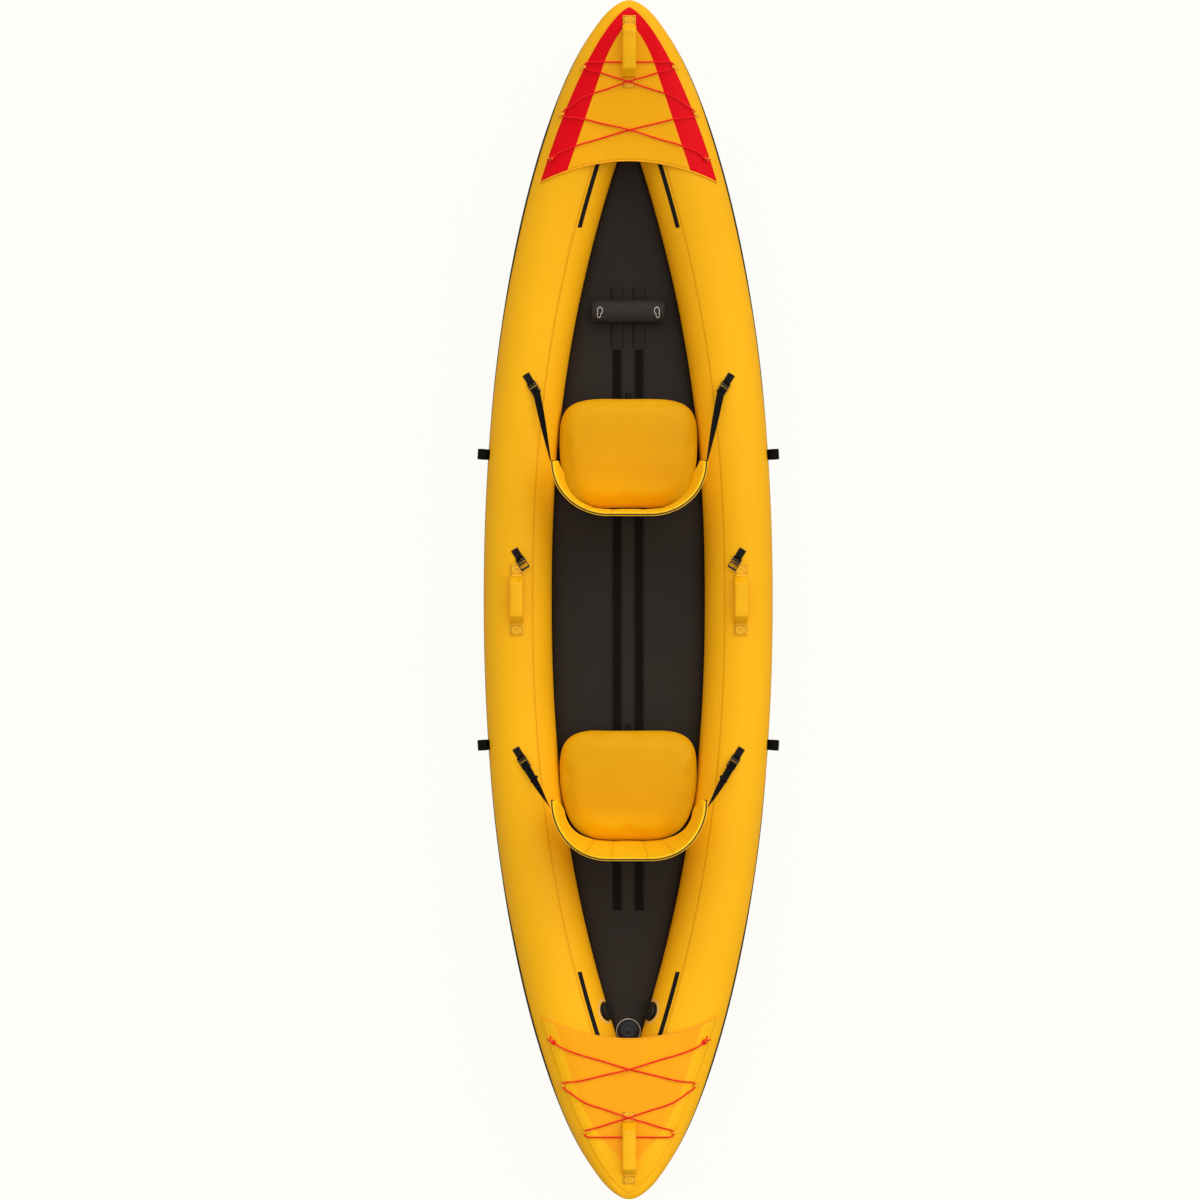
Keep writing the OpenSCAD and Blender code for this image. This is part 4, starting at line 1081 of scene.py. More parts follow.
def skin_spot(u, y, proud):
    """Bottom skin from the starboard seam, under the boat, to the port seam."""
    side = 1 if u < 0.5 else -1
    share = min(u, 1 - u) / SKIN_FLANK
    if share <= 1:
        return tube_spot(y, mix(SEAM_ANGLE + seam_climb(y), -90, share), proud, side)
    inwards = (0.5 - min(u, 1 - u)) / (0.5 - SKIN_FLANK)
    return Vector((side * tube_x(y) * inwards, y, bottom_z(y) - proud))


def seam_tape(side):
    def place(u, v):
        y = along(v)
        angle = SEAM_ANGLE + seam_climb(y) + mix(-TAPE_REACH, TAPE_REACH, u)
        return tube_spot(y, angle, SETTLE + 0.0022, side)

    return shaped_grid(6, 300, place, lambda u, v: ((u - 0.5) * TAPE_WIDTH, along(v)), flip=side > 0)


def nose(end):
    """Wrap that closes the groove between the two tube tips."""
    def place(u, v):
        y = mix(NOSE_START, HALF_LENGTH * TIP_SHARE, math.sin(v * math.pi / 2))
        side = 1 if u < 0.5 else -1
        share = min(u, 1 - u) / NOSE_FLANK
        if v > 0.999:
            return Vector((0, end * (y + 0.001), tube_z(y)))
        proud = mix(-0.0022, 0.0008, ease(v * 2.5))
        if share <= 1:
            spot = tube_spot(y, mix(COVER_ANGLES[0], 90, share), proud, side)
        else:
            inwards = (0.5 - min(u, 1 - u)) / (0.5 - NOSE_FLANK)
            spot = Vector((side * tube_x(y) * inwards, y, top_z(y) + proud))
        return mirrored(spot, end=end)

    return shaped_grid(60, 26, place, lambda u, v: (u * 0.3, v * 0.09), flip=end > 0)


for side_name, side in SIDES.items():
    cover = tube_cover(side)
    open_round(cover, valve_frames[side_name], VALVE_HOLE)
    piece(side_name + "_cover_fabric", cover, cover_finish, "cover_yellow",
          (side_name + "_tube_cover", side_name + "_bladder"), wall=COVER_WALL)
    piece(side_name + "_edge_tape", seam_tape(side), tape_finish, "skin_black",
          (side_name + "_seam_tape",), wall=COVER_WALL)
piece("bottom_fabric", shaped_grid(80, 300, lambda u, v: skin_spot(u, along(v), SETTLE),
                                   lambda u, v: ((u - 0.5) * 1.2, along(v))),
      skin_finish, "skin_black", ("hull_skin",), wall=SKIN)
for end_name, end in ENDS.items():
    piece(end_name + "_nose_wrap", nose(end), nose_finish, "cover_yellow", wall=0.0012)


# Air floor with its straps and footrest
def smooth_floor_top(y):
    return bottom_z(y) + SKIN + LAY + FLOOR_DEPTH


def floor_spot(u, v):
    y = mix(-FLOOR_END, FLOOR_END, v)
    edge = min(FLOOR_EDGE, inner_x(y) * 0.4)
    half = inner_x(y) + tube_half_width(y) * 0.08 * edge / FLOOR_EDGE - 0.0008 - edge
    turn = 2 * math.pi * u
    x = signed_power(math.cos(turn), 0.35) * (half + edge)
    z = signed_power(math.sin(turn), 0.35) * FLOOR_DEPTH / 2
    return Vector((x, y, smooth_floor_top(y) - FLOOR_DEPTH / 2 + z))


chamber = shaped_grid(72, 300, floor_spot, lambda u, v: (u * 0.9, mix(-FLOOR_END, FLOOR_END, v)),
                      wrap=True, shut=True)
open_round(chamber, valve_frames["floor"], VALVE_HOLE)
piece("air_floor", chamber, floor_finish, "floor_grey", ("floor_chamber",))


RIBBON_PLACE = 0.036
FLOOR_RIBBON, FOOTREST_RIBBON = (0.031, -1.014, 0.817), (0.042, 0.823, 1.019)


def floor_ribbon(x, width, start, end):
    def place(u, v):
        y = mix(start, end, v)
        return Vector((x + (u - 0.5) * width, y, smooth_floor_top(y) + LAY + WEB))

    return shaped_grid(4, 160, place, lambda u, v: ((u - 0.5) * width, mix(start, end, v)))


piece("floor_webbing", [floor_ribbon(side * RIBBON_PLACE, *FLOOR_RIBBON) for side in SIDES.values()],
      web_finish, "webbing_black", ("floor_straps",), wall=WEB)
piece("footrest_webbing",
      [floor_ribbon(side * RIBBON_PLACE, *FOOTREST_RIBBON) for side in SIDES.values()],
      tape_web_finish, "webbing_black", ("footrest_tapes",), wall=WEB)

FOOTREST_HALF, FOOTREST_DEPTH, FOOTREST_HEIGHT = 0.1185, 0.073, 0.056
footrest_frame = slope_frame(0, FOOTREST_PLACE, floor_top(FOOTREST_PLACE))


def footrest_spot(u, v):
    share = math.sin((v - 0.5) * math.pi)
    full = 0.72 + 0.28 * max(0.0, 1 - abs(share) ** 8) ** 0.4
    pinch = 0.97 + 0.03 * math.cos(share * 9)
    turn = 2 * math.pi * u
    rise = max(0.0, 0.42 + 0.58 * full * pinch * math.sin(turn) + 0.1 * (full - 1))
    ahead = -full * FOOTREST_DEPTH / 2 * math.cos(turn)
    return footrest_frame @ Vector((share * FOOTREST_HALF, ahead, WEB + 3 * LAY + FOOTREST_HEIGHT * rise))


footrest = piece("footrest_pad", shaped_grid(48, 72, footrest_spot, wrap=True, shut=True), footrest_finish,
                 "footrest_charcoal", ("footrest_roll",), "footrest")
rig.padded(footrest, 0.85)


# Decks with coloured bands and hems
def deck_spot(u, v, end, lift=0.0):
    across = 2 * u - 1
    start = DECK_CORNER + DECK_HOLLOW * (1 - across * across)
    y = mix(start, DECK_TIP, TIP_SHARE * math.sin(v * math.pi / 2))
    x = across * deck_half_width(y)
    return Vector((x, end * y, deck_z(x, y) + lift))


def deck_chart(u, v):
    spot = deck_spot(u, v, 1)
    return deck_half_width(spot.y) - abs(spot.x), spot.y


DECK_WALL, HEM_RADIUS, HEM_DROP, EDGE_RADIUS, EDGE_DROP = 0.0034, 0.0024, 0.0008, 0.0018, 0.0016
for end_name, end in ENDS.items():
    shape = shaped_grid(96, 72, lambda u, v: deck_spot(u, v, end), deck_chart, flip=end < 0)
    deck_area = sum(face.calc_area() for face in shape.faces)
    deck = piece(end_name + "_deck_fabric", shape, deck_finishes[end_name], "deck_orange",
                 (end_name + "_deck",), wall=DECK_WALL)
    front = [deck_spot(i / 40, 0, end, -HEM_DROP) for i in range(41)]
    hem = swept(end_name + "_deck_hem", front, HEM_RADIUS, hem_finishes[end_name], "deck_orange")
    rim = [(0, i / 30) for i in range(31)] + [(1, i / 30) for i in range(30, -1, -1)]
    edge = swept(end_name + "_deck_edge", [deck_spot(u, v, end, -EDGE_DROP) for u, v in rim], EDGE_RADIUS,
                 edge_finishes[end_name], "deck_orange")
    deck_span = length_of([deck_spot(i / 40, 0, end) for i in range(41)])
    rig.sheet(deck, flat=(deck_span, DECK_TIP - DECK_CORNER), held="stretched", area=deck_area,
             rests_on=["port_tube_cover", "starboard_tube_cover"], with_pieces=[hem, edge])


# Carrying handles
HANDLES = {
    "bow": (0.218, 0.025, 1.732, 1), "stern": (0.218, 0.025, 1.732, -1),
    "starboard": (0.228, 0.034, 0.0, 1), "port": (0.228, 0.034, 0.0, -1),
}
HANDLE_LIFT = 0.0355
HANDLE_RAMP = 0.03
HANDLE_WEB = 0.0025
GRIP_WIDTH, GRIP_DEPTH, GRIP_END = 0.043, 0.015, 0.005


def handle_base(name, run):
    _, _, place, sign = HANDLES[name]
    if name in ENDS:
        y = place + run
        return Vector((0, sign * y, deck_z(0, y) + 2 * LAY))
    return Vector((sign * tube_x(0), run, top_z(run) + LAY))


def handle_rise(name, run):
    length, patch, _, _ = HANDLES[name]
    return HANDLE_LIFT * ease((length / 2 - patch - abs(run)) / HANDLE_RAMP)


def handle_strip(name):
    """Webbing that is as wide as the sleeve at its sewn patches and narrower inside it."""
    length, patch, _, _ = HANDLES[name]

    def width(run):
        return mix(0.041, 0.032, clamp((length / 2 - patch - abs(run)) / GRIP_END))

    def place(u, v):
        run = (v - 0.5) * length
        lift = handle_rise(name, run) + HANDLE_WEB
        return handle_base(name, run) + Vector(((u - 0.5) * width(run), 0, lift))

    def chart(u, v):
        run = (v - 0.5) * length
        return (u - 0.5) * width(run), run

    return shaped_grid(4, 114, place, chart, flip=name == "stern")


def handle_sleeve(name):
    length, patch, _, _ = HANDLES[name]
    half = length / 2 - patch - GRIP_END

    def place(u, v):
        run = mix(-half, half, v)
        up = handle_rise(name, run) + HANDLE_WEB / 2
        depth = min(GRIP_DEPTH, 2 * up - 0.0008)
        turn = 2 * math.pi * u
        puff = 1 + 0.012 * math.sin(run * 160) * (1 - (run / half) ** 2)
        x = signed_power(math.cos(turn), 2 / 2.6) * GRIP_WIDTH / 2
        z = signed_power(math.sin(turn), 2 / 2.6) * depth / 2 * puff
        return handle_base(name, run) + Vector((x, 0, up + z))

    middle = handle_base(name, 0) + Vector((0, 0, handle_rise(name, 0)))
    return face_out(shaped_grid(36, 60, place, wrap=True), lambda spot: spot - middle)


for name in HANDLES:
    web = end_web_finish if name in ENDS else side_web_finish
    piece(name + "_handle_strap", handle_strip(name), web, "cover_yellow", (name + "_handle_webbing",),
          wall=HANDLE_WEB)
    sleeve = piece(name + "_handle_sleeve", handle_sleeve(name), sleeve_finish, "cover_yellow",
                   (name + "_handle_grip",), wall=0.0014)
    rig.padded(sleeve, 0.9)


# Zips that run under the decks
ZIP_ANGLE = 125
ZIP_WIDTH = 0.014
ZIP_REACH = math.degrees(ZIP_WIDTH / (2 * TUBE_RADIUS))
ZIP_RUN = (1.196, 1.441)
ZIP_LENGTH = ZIP_RUN[1] - ZIP_RUN[0]
COIL_PITCH, COIL_SWING, COIL_LIFT, COIL_WIRE, COIL_MARGIN = 0.0024, 0.0017, 0.0005, 0.0006, 0.003


def zip_tape(side, end):
    def place(u, v):
        angle = ZIP_ANGLE + mix(-ZIP_REACH, ZIP_REACH, u)
        return mirrored(tube_spot(mix(*ZIP_RUN, v), angle, SETTLE + 0.0015, side), end=end)

    return shaped_grid(6, 40, place, lambda u, v: ((u - 0.5) * ZIP_WIDTH, v * ZIP_LENGTH),
                       flip=side * end > 0)


def zip_coil(side, end):
    """Two interlocked rows of a coil zip as one wound line."""
    turns = int((ZIP_LENGTH - 2 * COIL_MARGIN) / COIL_PITCH)
    points = []
    for step in range(turns * 4 + 1):
        y = ZIP_RUN[0] + COIL_MARGIN + step * COIL_PITCH / 4
        angle = ZIP_ANGLE + math.degrees(COIL_SWING * (1, 0, -1, 0)[step % 4] / TUBE_RADIUS)
        lift = COIL_LIFT * (0, 1, 0, -1)[step % 4]
        points.append(mirrored(tube_spot(y, angle, SETTLE + 0.0024 + lift, side), end=end))
    return points


for end_name, end in ENDS.items():
    piece(end_name + "_zip_tapes", [zip_tape(side, end) for side in SIDES.values()], zip_finish,
          "webbing_black", (end_name + "_zips",), wall=0.0012)
    for side_name, side in SIDES.items():
        swept(end_name + "_" + side_name + "_zip_coil", zip_coil(side, end), COIL_WIRE, moulded["zip coil"],
              "webbing_black", sides=0, steps=1)


# Seats
def cushion_base(y):
    return max(floor_top(y - SEAT_DEPTH / 2), floor_top(y + SEAT_DEPTH / 2)) + WEB + 2 * LAY


def shoulder(y, z):
    lean = clamp(max(0.0, z - tube_z(y)) / tube_half_height(y))
    return tube_half_width(y) * (1 - math.sqrt(1 - lean * lean))


def cushion_half(y, z):
    return min(SEAT_WIDTH / 2, inner_x(y) - 0.0015 + 0.9 * shoulder(y, z))


WELD_SHARE, SWELL_START, SWELL_LIMIT, SWELL_EASE = 0.6, 0.003, 0.012, 7


def cushion_spot(u, v, seat_y, shrink=0.0):
    """Crowned cushion: straight front edge, drawn in behind, flat below and swollen above its weld."""
    turn = 2 * math.pi * u
    slope = (v - 0.5) * math.pi
    level = abs(math.sin(slope))
    upper = v > 0.5
    crown = 5.2 - 1.6 * math.sin(turn)
    reach = max(0.0, math.cos(slope)) ** (2 / crown if upper else 2 / 6)
    rise = WELD_SHARE + ((1 - WELD_SHARE) * level ** (2 / 3.2) if upper else -WELD_SHARE * level ** (2 / 3))
    z = cushion_base(seat_y) + rise * (SEAT_HEIGHT - shrink)
    power = 2 / (4.2 if math.sin(turn) > 0 else 3.9)
    back = signed_power(math.sin(turn), power)
    wide = signed_power(math.cos(turn), power) * (1 - 0.085 * max(0.0, -back))
    y = seat_y + reach * (SEAT_DEPTH / 2 - shrink) * back
    return Vector((reach * (cushion_half(y, z) - shrink) * wide, y, z))


BACK_WIDTH, BACK_BAY, BACK_FLAT, BACK_WALL = 0.498, 0.165, 0.13, 0.018
BACK_EDGE, BACK_GAP, BACK_FOOT, BACK_RIM = 0.012, 0.002, 0.04, 0.369
WING_DROP, WING_CLEAR, WING_FLARE, BACK_LEAN = 0.096, 0.01, 0.028, math.radians(3.5)
BACK_HALF = BACK_WIDTH / 2 - BACK_EDGE / 2
ARC_WIDTH = BACK_HALF - BACK_FLAT / 2
SEAM_DIP_WIDTH, SEAM_DIP = 0.026, 0.75
WELD_RADIUS, PIPING_RADIUS = 0.0014, 0.0022
FLAT_SHARE = 0.22
WING_ROUND = 0.55
TIP_START = 0.9


def back_plan(share):
    """Plan line of a backrest for a share from -1 at the port wing to 1: place and outward direction."""
    side = 1 if share >= 0 else -1
    run = abs(share)
    if run < FLAT_SHARE:
        return side * run / FLAT_SHARE * BACK_FLAT / 2, 0.0, 0.0, -1.0
    turn = (run - FLAT_SHARE) / (1 - FLAT_SHARE) * math.pi / 2
    out = Vector((math.sin(turn) * BACK_BAY, -math.cos(turn) * ARC_WIDTH)).normalized()
    x = side * (BACK_FLAT / 2 + ARC_WIDTH * math.sin(turn))
    return x, BACK_BAY * (1 - math.cos(turn)), side * out.x, out.y


def back_place(seat_y):
    y = seat_y - SEAT_DEPTH / 2 - BACK_GAP - BACK_WALL / 2
    return y, floor_top(y) + BACK_FOOT


def seam_fan(level):
    """Share by which the sewn channels draw together towards the foot."""
    return mix(0.82, 1, level)


def back_thickness(x, level):
    dip = max(max(0.0, 1 - abs(abs(x) / seam_fan(level) - seam) / SEAM_DIP_WIDTH) for seam in BACK_SEAMS)
    swell = max(0.0, math.sin(math.pi * mix(0.14, 1, level))) ** 0.6
    return (BACK_EDGE + (BACK_WALL - BACK_EDGE) * swell * (1 - SEAM_DIP * dip ** 1.5)) / 2


def back_spot(share, level, seat_y, face):
    """Point of a backrest; face runs from -1 on the sitter's side to 1 behind."""
    x, bay, out_x, out_y = back_plan(share)
    y, hinge = back_place(seat_y)
    wing = ease((abs(x) - BACK_FLAT / 2) / (BACK_HALF - BACK_FLAT / 2 - 0.014))
    cut = WING_ROUND * ease((bay / BACK_BAY - 0.62) / 0.38)
    high = floor_top(y) + BACK_RIM - WING_DROP * ease(bay / BACK_BAY)
    low = mix(mix(hinge, top_z(seat_y) + WING_CLEAR, wing), high, cut)
    tip = clamp((abs(share) - TIP_START) / (1 - TIP_START))
    z = mix(low, high, 0.5 + (level - 0.5) * math.sqrt(1.02 - tip * tip))
    half = face * back_thickness(x, level) - WING_FLARE * (1 - level) * (1 - cut) * ease(bay / BACK_BAY)
    return Vector((x + out_x * half, y + bay + out_y * half - (z - hinge) * math.tan(BACK_LEAN), z))


def back_ring(v):
    """Level and face round a closed section: up the sitter's side, over the rim and down behind."""
    if v < 0.44:
        return v / 0.44, -1
    if v < 0.5:
        return 1, mix(-1, 1, (v - 0.44) / 0.06)
    if v < 0.94:
        return 1 - (v - 0.5) / 0.44, 1
    return 0, mix(1, -1, (v - 0.94) / 0.06)


def backrest(seat_y):
    def place(u, v):
        level, face = back_ring(v)
        return back_spot(2 * u - 1, level, seat_y, face)

    def chart(u, v):
        return back_plan(2 * u - 1)[0] / seam_fan(back_ring(v)[0]), v * 0.6

    return shaped_grid(150, 100, place, chart, wrap=True, shut=True)


def rim_line(seat_y, face):
    """Piping round the rim: up one wing's end, along the top and down the other."""
    wing = [back_spot(-1, 0.4 + i / 10, seat_y, face) for i in range(6)]
    top = [back_spot(-1 + i / 30, 1, seat_y, face) for i in range(61)]
    return wing + top + [back_spot(1, 1 - i / 10, seat_y, face) for i in range(1, 7)]


def soften(bm, times):
    for _ in range(times):
        bmesh.ops.smooth_vert(bm, verts=bm.verts, factor=0.5, use_axis_x=True, use_axis_y=True,
                              use_axis_z=True)


def swollen(bm, seat_y):
    """Sewn shape pressed out by air as cloth; no point moves further than the limit or below its rest."""
    mesh = bpy.data.meshes.new("sewn_cushion")
    bm.to_mesh(mesh)
    sewn = bpy.data.objects.new("sewn_cushion", mesh)
    scene.collection.objects.link(sewn)
    even = sewn.modifiers.new("even", "REMESH")
    even.mode = "VOXEL"
    even.voxel_size = 0.006
    start = bpy.data.meshes.new_from_object(sewn.evaluated_get(bpy.context.evaluated_depsgraph_get()))
    sewn.modifiers.clear()
    sewn.data = start
    air = sewn.modifiers.new("air", "CLOTH")
    air.settings.use_pressure = True
    air.settings.uniform_pressure_force = 4
    air.settings.effector_weights.gravity = 0
    for step in range(1, 21):
        scene.frame_set(step)
    done = bpy.data.meshes.new_from_object(sewn.evaluated_get(bpy.context.evaluated_depsgraph_get()))
    scene.frame_set(1)
    bm.clear()
    bm.from_mesh(start)
    bm.verts.ensure_lookup_table()
    for vert, after in zip(bm.verts, done.vertices):
        move = after.co - vert.co
        vert.co += move * min(1.0, SWELL_LIMIT / max(move.length, 1e-9))
    soften(bm, SWELL_EASE)
    base = cushion_base(seat_y)
    spots = [vert.co for vert in bm.verts]
    wide = SEAT_WIDTH / 2 / max(abs(spot.x) for spot in spots)
    deep = SEAT_DEPTH / 2 / max(abs(spot.y - seat_y) for spot in spots)
    high = SEAT_HEIGHT / (max(spot.z for spot in spots) - base)
    for vert in bm.verts:
        spot = vert.co
        y = seat_y + (spot.y - seat_y) * deep - 0.0015 * clamp((seat_y - spot.y) / SEAT_DEPTH * 2)
        z = base + max(0.0, spot.z - base) * high
        half = cushion_half(y, z)
        vert.co = Vector((clamp(spot.x * wide, -half, half), y, z))
    soften(bm, SWELL_EASE)
    bpy.data.objects.remove(sewn)
    for used in (mesh, start, done):
        bpy.data.meshes.remove(used)
    bm.loops.layers.uv.new("UVMap")
    return bm


for seat, seat_y in SEAT_PLACES.items():
    shrink = 0.0 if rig.quick() else SWELL_START
    pad = shaped_grid(72, 40, lambda u, v: cushion_spot(u, v, seat_y, shrink), wrap=True)
    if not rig.quick():
        pad = swollen(pad, seat_y)
    skin = BVHTree.FromBMesh(pad)
    weld = [skin.find_nearest(cushion_spot(i / 72, 0.5, seat_y))[0] for i in range(72)]
    cushion = piece(seat + "_cushion", pad, seat_finishes[seat], "seat_yellow",
                    (seat + "_seat_cushion",), smooth=1)
    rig.padded(cushion, 0.9)
    swept(seat + "_cushion_weld", weld, WELD_RADIUS, seat_finishes[seat], "seat_yellow", closed=True,
          sides=2)
    body = seat + "_back"
    back = piece(seat + "_back_pad", backrest(seat_y), back_finish, "seat_yellow",
                 (seat + "_backrest",), body)
    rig.padded(back, 0.8)
    swept(seat + "_back_piping", rim_line(seat_y, 0.3), PIPING_RADIUS, piping_finish, "seat_yellow",
          body=body, sides=2)
    plug_spot = Vector((0, seat_y + SEAT_DEPTH / 2 + LAY, cushion_base(seat_y) + 0.45 * SEAT_HEIGHT))
    plug = frame_matrix(Vector((1, 0, 0)), Vector((0, 0, -1)), Vector((0, 1, 0)), plug_spot)
    piece(seat + "_cushion_plug",
          turned([(0, 0), (0.0122, 0), (0.013, 0.0007), (0.013, 0.0023), (0.0122, 0.003), (0.0095, 0.0032),
                  (0.0095, 0.0158), (0.0088, 0.0176), (0.007, 0.018), (0.0062, 0.0168), (0, 0.0168)],
                 plug, steps=60, ribs=12, rib_depth=0.0006),
          plug_finish, "hardware_black", (seat + "_seat_valve",))


# Anchor tabs, ladder locks and seat straps
STRAP_WIDTH, TAB_LENGTH = 0.024, 0.032
BAR_RADIUS = 0.002
ROLL_IN = BAR_RADIUS + 0.0004
ROLL_OUT = ROLL_IN + WEB
BAR_UP = LAY + ROLL_OUT + 0.0002
BAR_AHEAD = TAB_LENGTH / 2 + 0.003
LOCK_HALF = STRAP_WIDTH / 2 + 0.0006
LOCK_RAIL, LOCK_DEPTH, LOCK_LENGTH = 0.0022, 0.0044, 0.04
LOCK_SHARE = 0.1


def on_tube(matrix, x, y, proud):
    """Point on the smooth tube under a place of a fitting's frame, raised along the frame's third axis."""
    spot = matrix @ Vector((x, y, 0))
    side = 1 if spot.x > 0 else -1
    angle = math.atan2((spot.z - tube_z(spot.y)) / tube_half_height(spot.y),
                       (side * spot.x - tube_x(spot.y)) / tube_half_width(spot.y))
    return tube_spot(spot.y, math.degrees(angle), SETTLE + proud, side)


def sewn_patch(matrix, length, width):
    def place(u, v):
        return on_tube(matrix, (v - 0.5) * length, (u - 0.5) * width, WEB)

    bm = shaped_grid(8, 12, place, lambda u, v: ((u - 0.5) * width, (v - 0.5) * length))
    face_out(bm, lambda spot: matrix.col[2].xyz)
    bmesh.ops.solidify(bm, geom=bm.faces, thickness=WEB * 0.95)
    return bm


def bar_roll(matrix):
    """Webbing rolled round the lock's end bar."""
    across = Matrix.Translation((BAR_AHEAD, 0, BAR_UP)) @ Matrix.Rotation(math.pi / 2, 4, "X")
    return band(ROLL_IN, ROLL_OUT, STRAP_WIDTH, matrix @ across)


def ladder_lock(matrix):
    """Frame of side rails and cross bars, with the end bar that the tab's roll turns on."""
    place = matrix @ Matrix.Translation((BAR_AHEAD, 0, BAR_UP))
    wide = LOCK_HALF + LOCK_RAIL
    shapes = []
    for side in (-1, 1):
        y = sorted((side * LOCK_HALF, side * wide))
        shapes.append(block((-0.0025, y[0], -LOCK_DEPTH / 2), (LOCK_LENGTH, y[1], LOCK_DEPTH / 2), place))
    for start, end in ((ROLL_OUT + 0.0012, 0.013), (0.017, 0.022), (0.034, LOCK_LENGTH)):
        shapes.append(block((start, -LOCK_HALF - 0.0004, -LOCK_DEPTH / 2 + 0.0003),
                            (end, LOCK_HALF + 0.0004, LOCK_DEPTH / 2 - 0.0002), place))
    turn = place @ Matrix.Rotation(math.pi / 2, 4, "X")
    reach = LOCK_HALF + LOCK_RAIL / 2
    bar = [(0, -reach), (BAR_RADIUS, -reach), (BAR_RADIUS, reach), (0, reach)]
    shapes.append(turned(bar, turn, steps=20))
    return shapes


def seat_strap(anchor, seat_y, off, side, keeper):
    """Webbing that leaves flat from its lock and turns on edge to the backrest's wing."""
    base = facet_frame(*ANCHORS[anchor], ANCHOR_TURN)
    up = BAR_UP + LOCK_DEPTH / 2 + WEB / 2 + 0.0014
    inside = base @ Vector((BAR_AHEAD + 0.019, 0, up))
    start = base @ Vector((BAR_AHEAD + LOCK_LENGTH - 0.003, 0, up))
    finish = back_spot(0.9, 0.5, seat_y, 1) + Vector((WEB / 2 + off, 0, 0))
    pull = (finish - start).normalized()
    rise = (back_spot(0.9, 0.8, seat_y, 1) - back_spot(0.9, 0.2, seat_y, 1)).normalized()

    def place(u, v):
        run = max(0.0, (v - LOCK_SHARE) / (1 - LOCK_SHARE))
        along_lock = clamp((v - LOCK_SHARE) / 0.06)
        ahead = base.col[0].xyz.lerp(pull, along_lock).normalized()
        lay = (-base.col[1].xyz).lerp(rise, 0.84 * run).normalized()
        face = lay.cross(ahead).normalized()
        wide = ahead.cross(face)
        middle = inside.lerp(start, v / LOCK_SHARE) if v < LOCK_SHARE else start.lerp(finish, run)
        spot = middle + wide * (0.5 - u) * STRAP_WIDTH + face * WEB / 2
        return mirrored(spot, side)

    bm = shaped_grid(4, 60, place, lambda u, v: ((u - 0.5) * STRAP_WIDTH, v * (finish - start).length),
                     flip=side > 0)
    bmesh.ops.solidify(bm, geom=bm.faces, thickness=WEB)
    bmesh.ops.recalc_face_normals(bm, faces=bm.faces)
    ends = [mirrored(spot, side) for spot in (start, finish)]
    if not keeper:
        return [bm], ends
    low, high = place(0, keeper), place(1, keeper)
    across = (high - low).normalized()
    ahead = (place(0.5, keeper + 0.03) - place(0.5, keeper)).normalized()
    ahead = (ahead - across * ahead.dot(across)).normalized()
    half = STRAP_WIDTH / 2
    ring = block((-half - 0.005, -0.005, -0.003), (half + 0.001, 0.005, 0.003),
                 frame_matrix(across, ahead, across.cross(ahead), (low + high) / 2), edge=0.0015)
    return [bm, ring], ends


anchor_frames = {}
for side_name, side in SIDES.items():
    for index, anchor in enumerate(ANCHORS):
        anchor_frames[side_name, index] = sided(facet_frame(*anchor, ANCHOR_TURN), side)
tabs = []
locks = []
for (side_name, index), matrix in anchor_frames.items():
    tabs.append(sewn_patch(matrix, TAB_LENGTH, STRAP_WIDTH))
    tabs.append(bar_roll(matrix))
    if index == 1:
        piece(side_name + "_spare_lock", ladder_lock(matrix), moulded["moulded plastic"], "hardware_black",
              (side_name + "_spare_ladder_lock",), side_name + "_lock")
    else:
        locks += ladder_lock(matrix)
piece("strap_tabs", tabs, tab_finish, "webbing_black", ("strap_anchor_tabs",))
piece("seat_locks", locks, moulded["moulded plastic"], "hardware_black", ("seat_ladder_locks",))
for side_name, side in SIDES.items():
    for seat, anchor, off, keeper in (("front", 0, 0.0012, None), ("rear", 2, 0.0042, 0.36)):
        shapes, ends = seat_strap(anchor, SEAT_PLACES[seat], off, side, keeper)
        strap = piece(seat + "_" + side_name + "_seat_webbing", shapes, web_finish, "webbing_black",
                      (seat + "_seat_" + side_name + "_strap",), body=None)
        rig.blend(strap, "hull", seat + "_back", start=ends[0], end=ends[1])


# Paddle loops on the tubes' outer sides
LOOP_BORE, LOOP_WIDTH, LOOP_PATCH = 0.016, 0.033, 0.04


def paddle_loop(matrix):
    raised = matrix @ Matrix.Translation((0, 0, LAY + WEB / 2 + LOOP_BORE + WEB))
    turn = raised @ Matrix.Rotation(math.pi / 2, 4, "Y")
    return [band(LOOP_BORE, LOOP_BORE + WEB, LOOP_WIDTH, turn, steps=40),
            sewn_patch(matrix, LOOP_WIDTH, LOOP_PATCH)]


loops = []
for side in SIDES.values():
    for y in (LOOP_PLACE, -LOOP_PLACE):
        loops += paddle_loop(sided(facet_frame(y, LOOP_ANGLE), side))
piece("paddle_webbing_loops", loops, tab_finish, "webbing_black", ("paddle_loops",))

# Fins and their bases
PLATE, PLATE_HALF_WIDTH, PLATE_HALF_LENGTH = 0.0035, 0.063, 0.131
TRACK_HALF, TRACK_REACH, TRACK_DEPTH = 0.041, 0.106, 0.011
BRIDGE_HALF, BRIDGE_RUN = 0.0137, (-0.061, -0.045)
RIDGE_PLACE, RIDGE_HALF, RIDGE_RUN = 0.024, 0.0012, (-0.1, 0.085)
SLIDE_HALF, SLIDE_LENGTH, SLIDE_WALL, FIN_WALL, FIN_CLEAR = 0.03, 0.168, 0.0045, 0.007, 0.0005
TRACK_TOP = -LAY - PLATE
SLIDE_TOP = TRACK_TOP - 0.001
SLIDE_FRONT = TRACK_REACH - 0.014
LIP_TOP = SLIDE_TOP - SLIDE_WALL - FIN_CLEAR


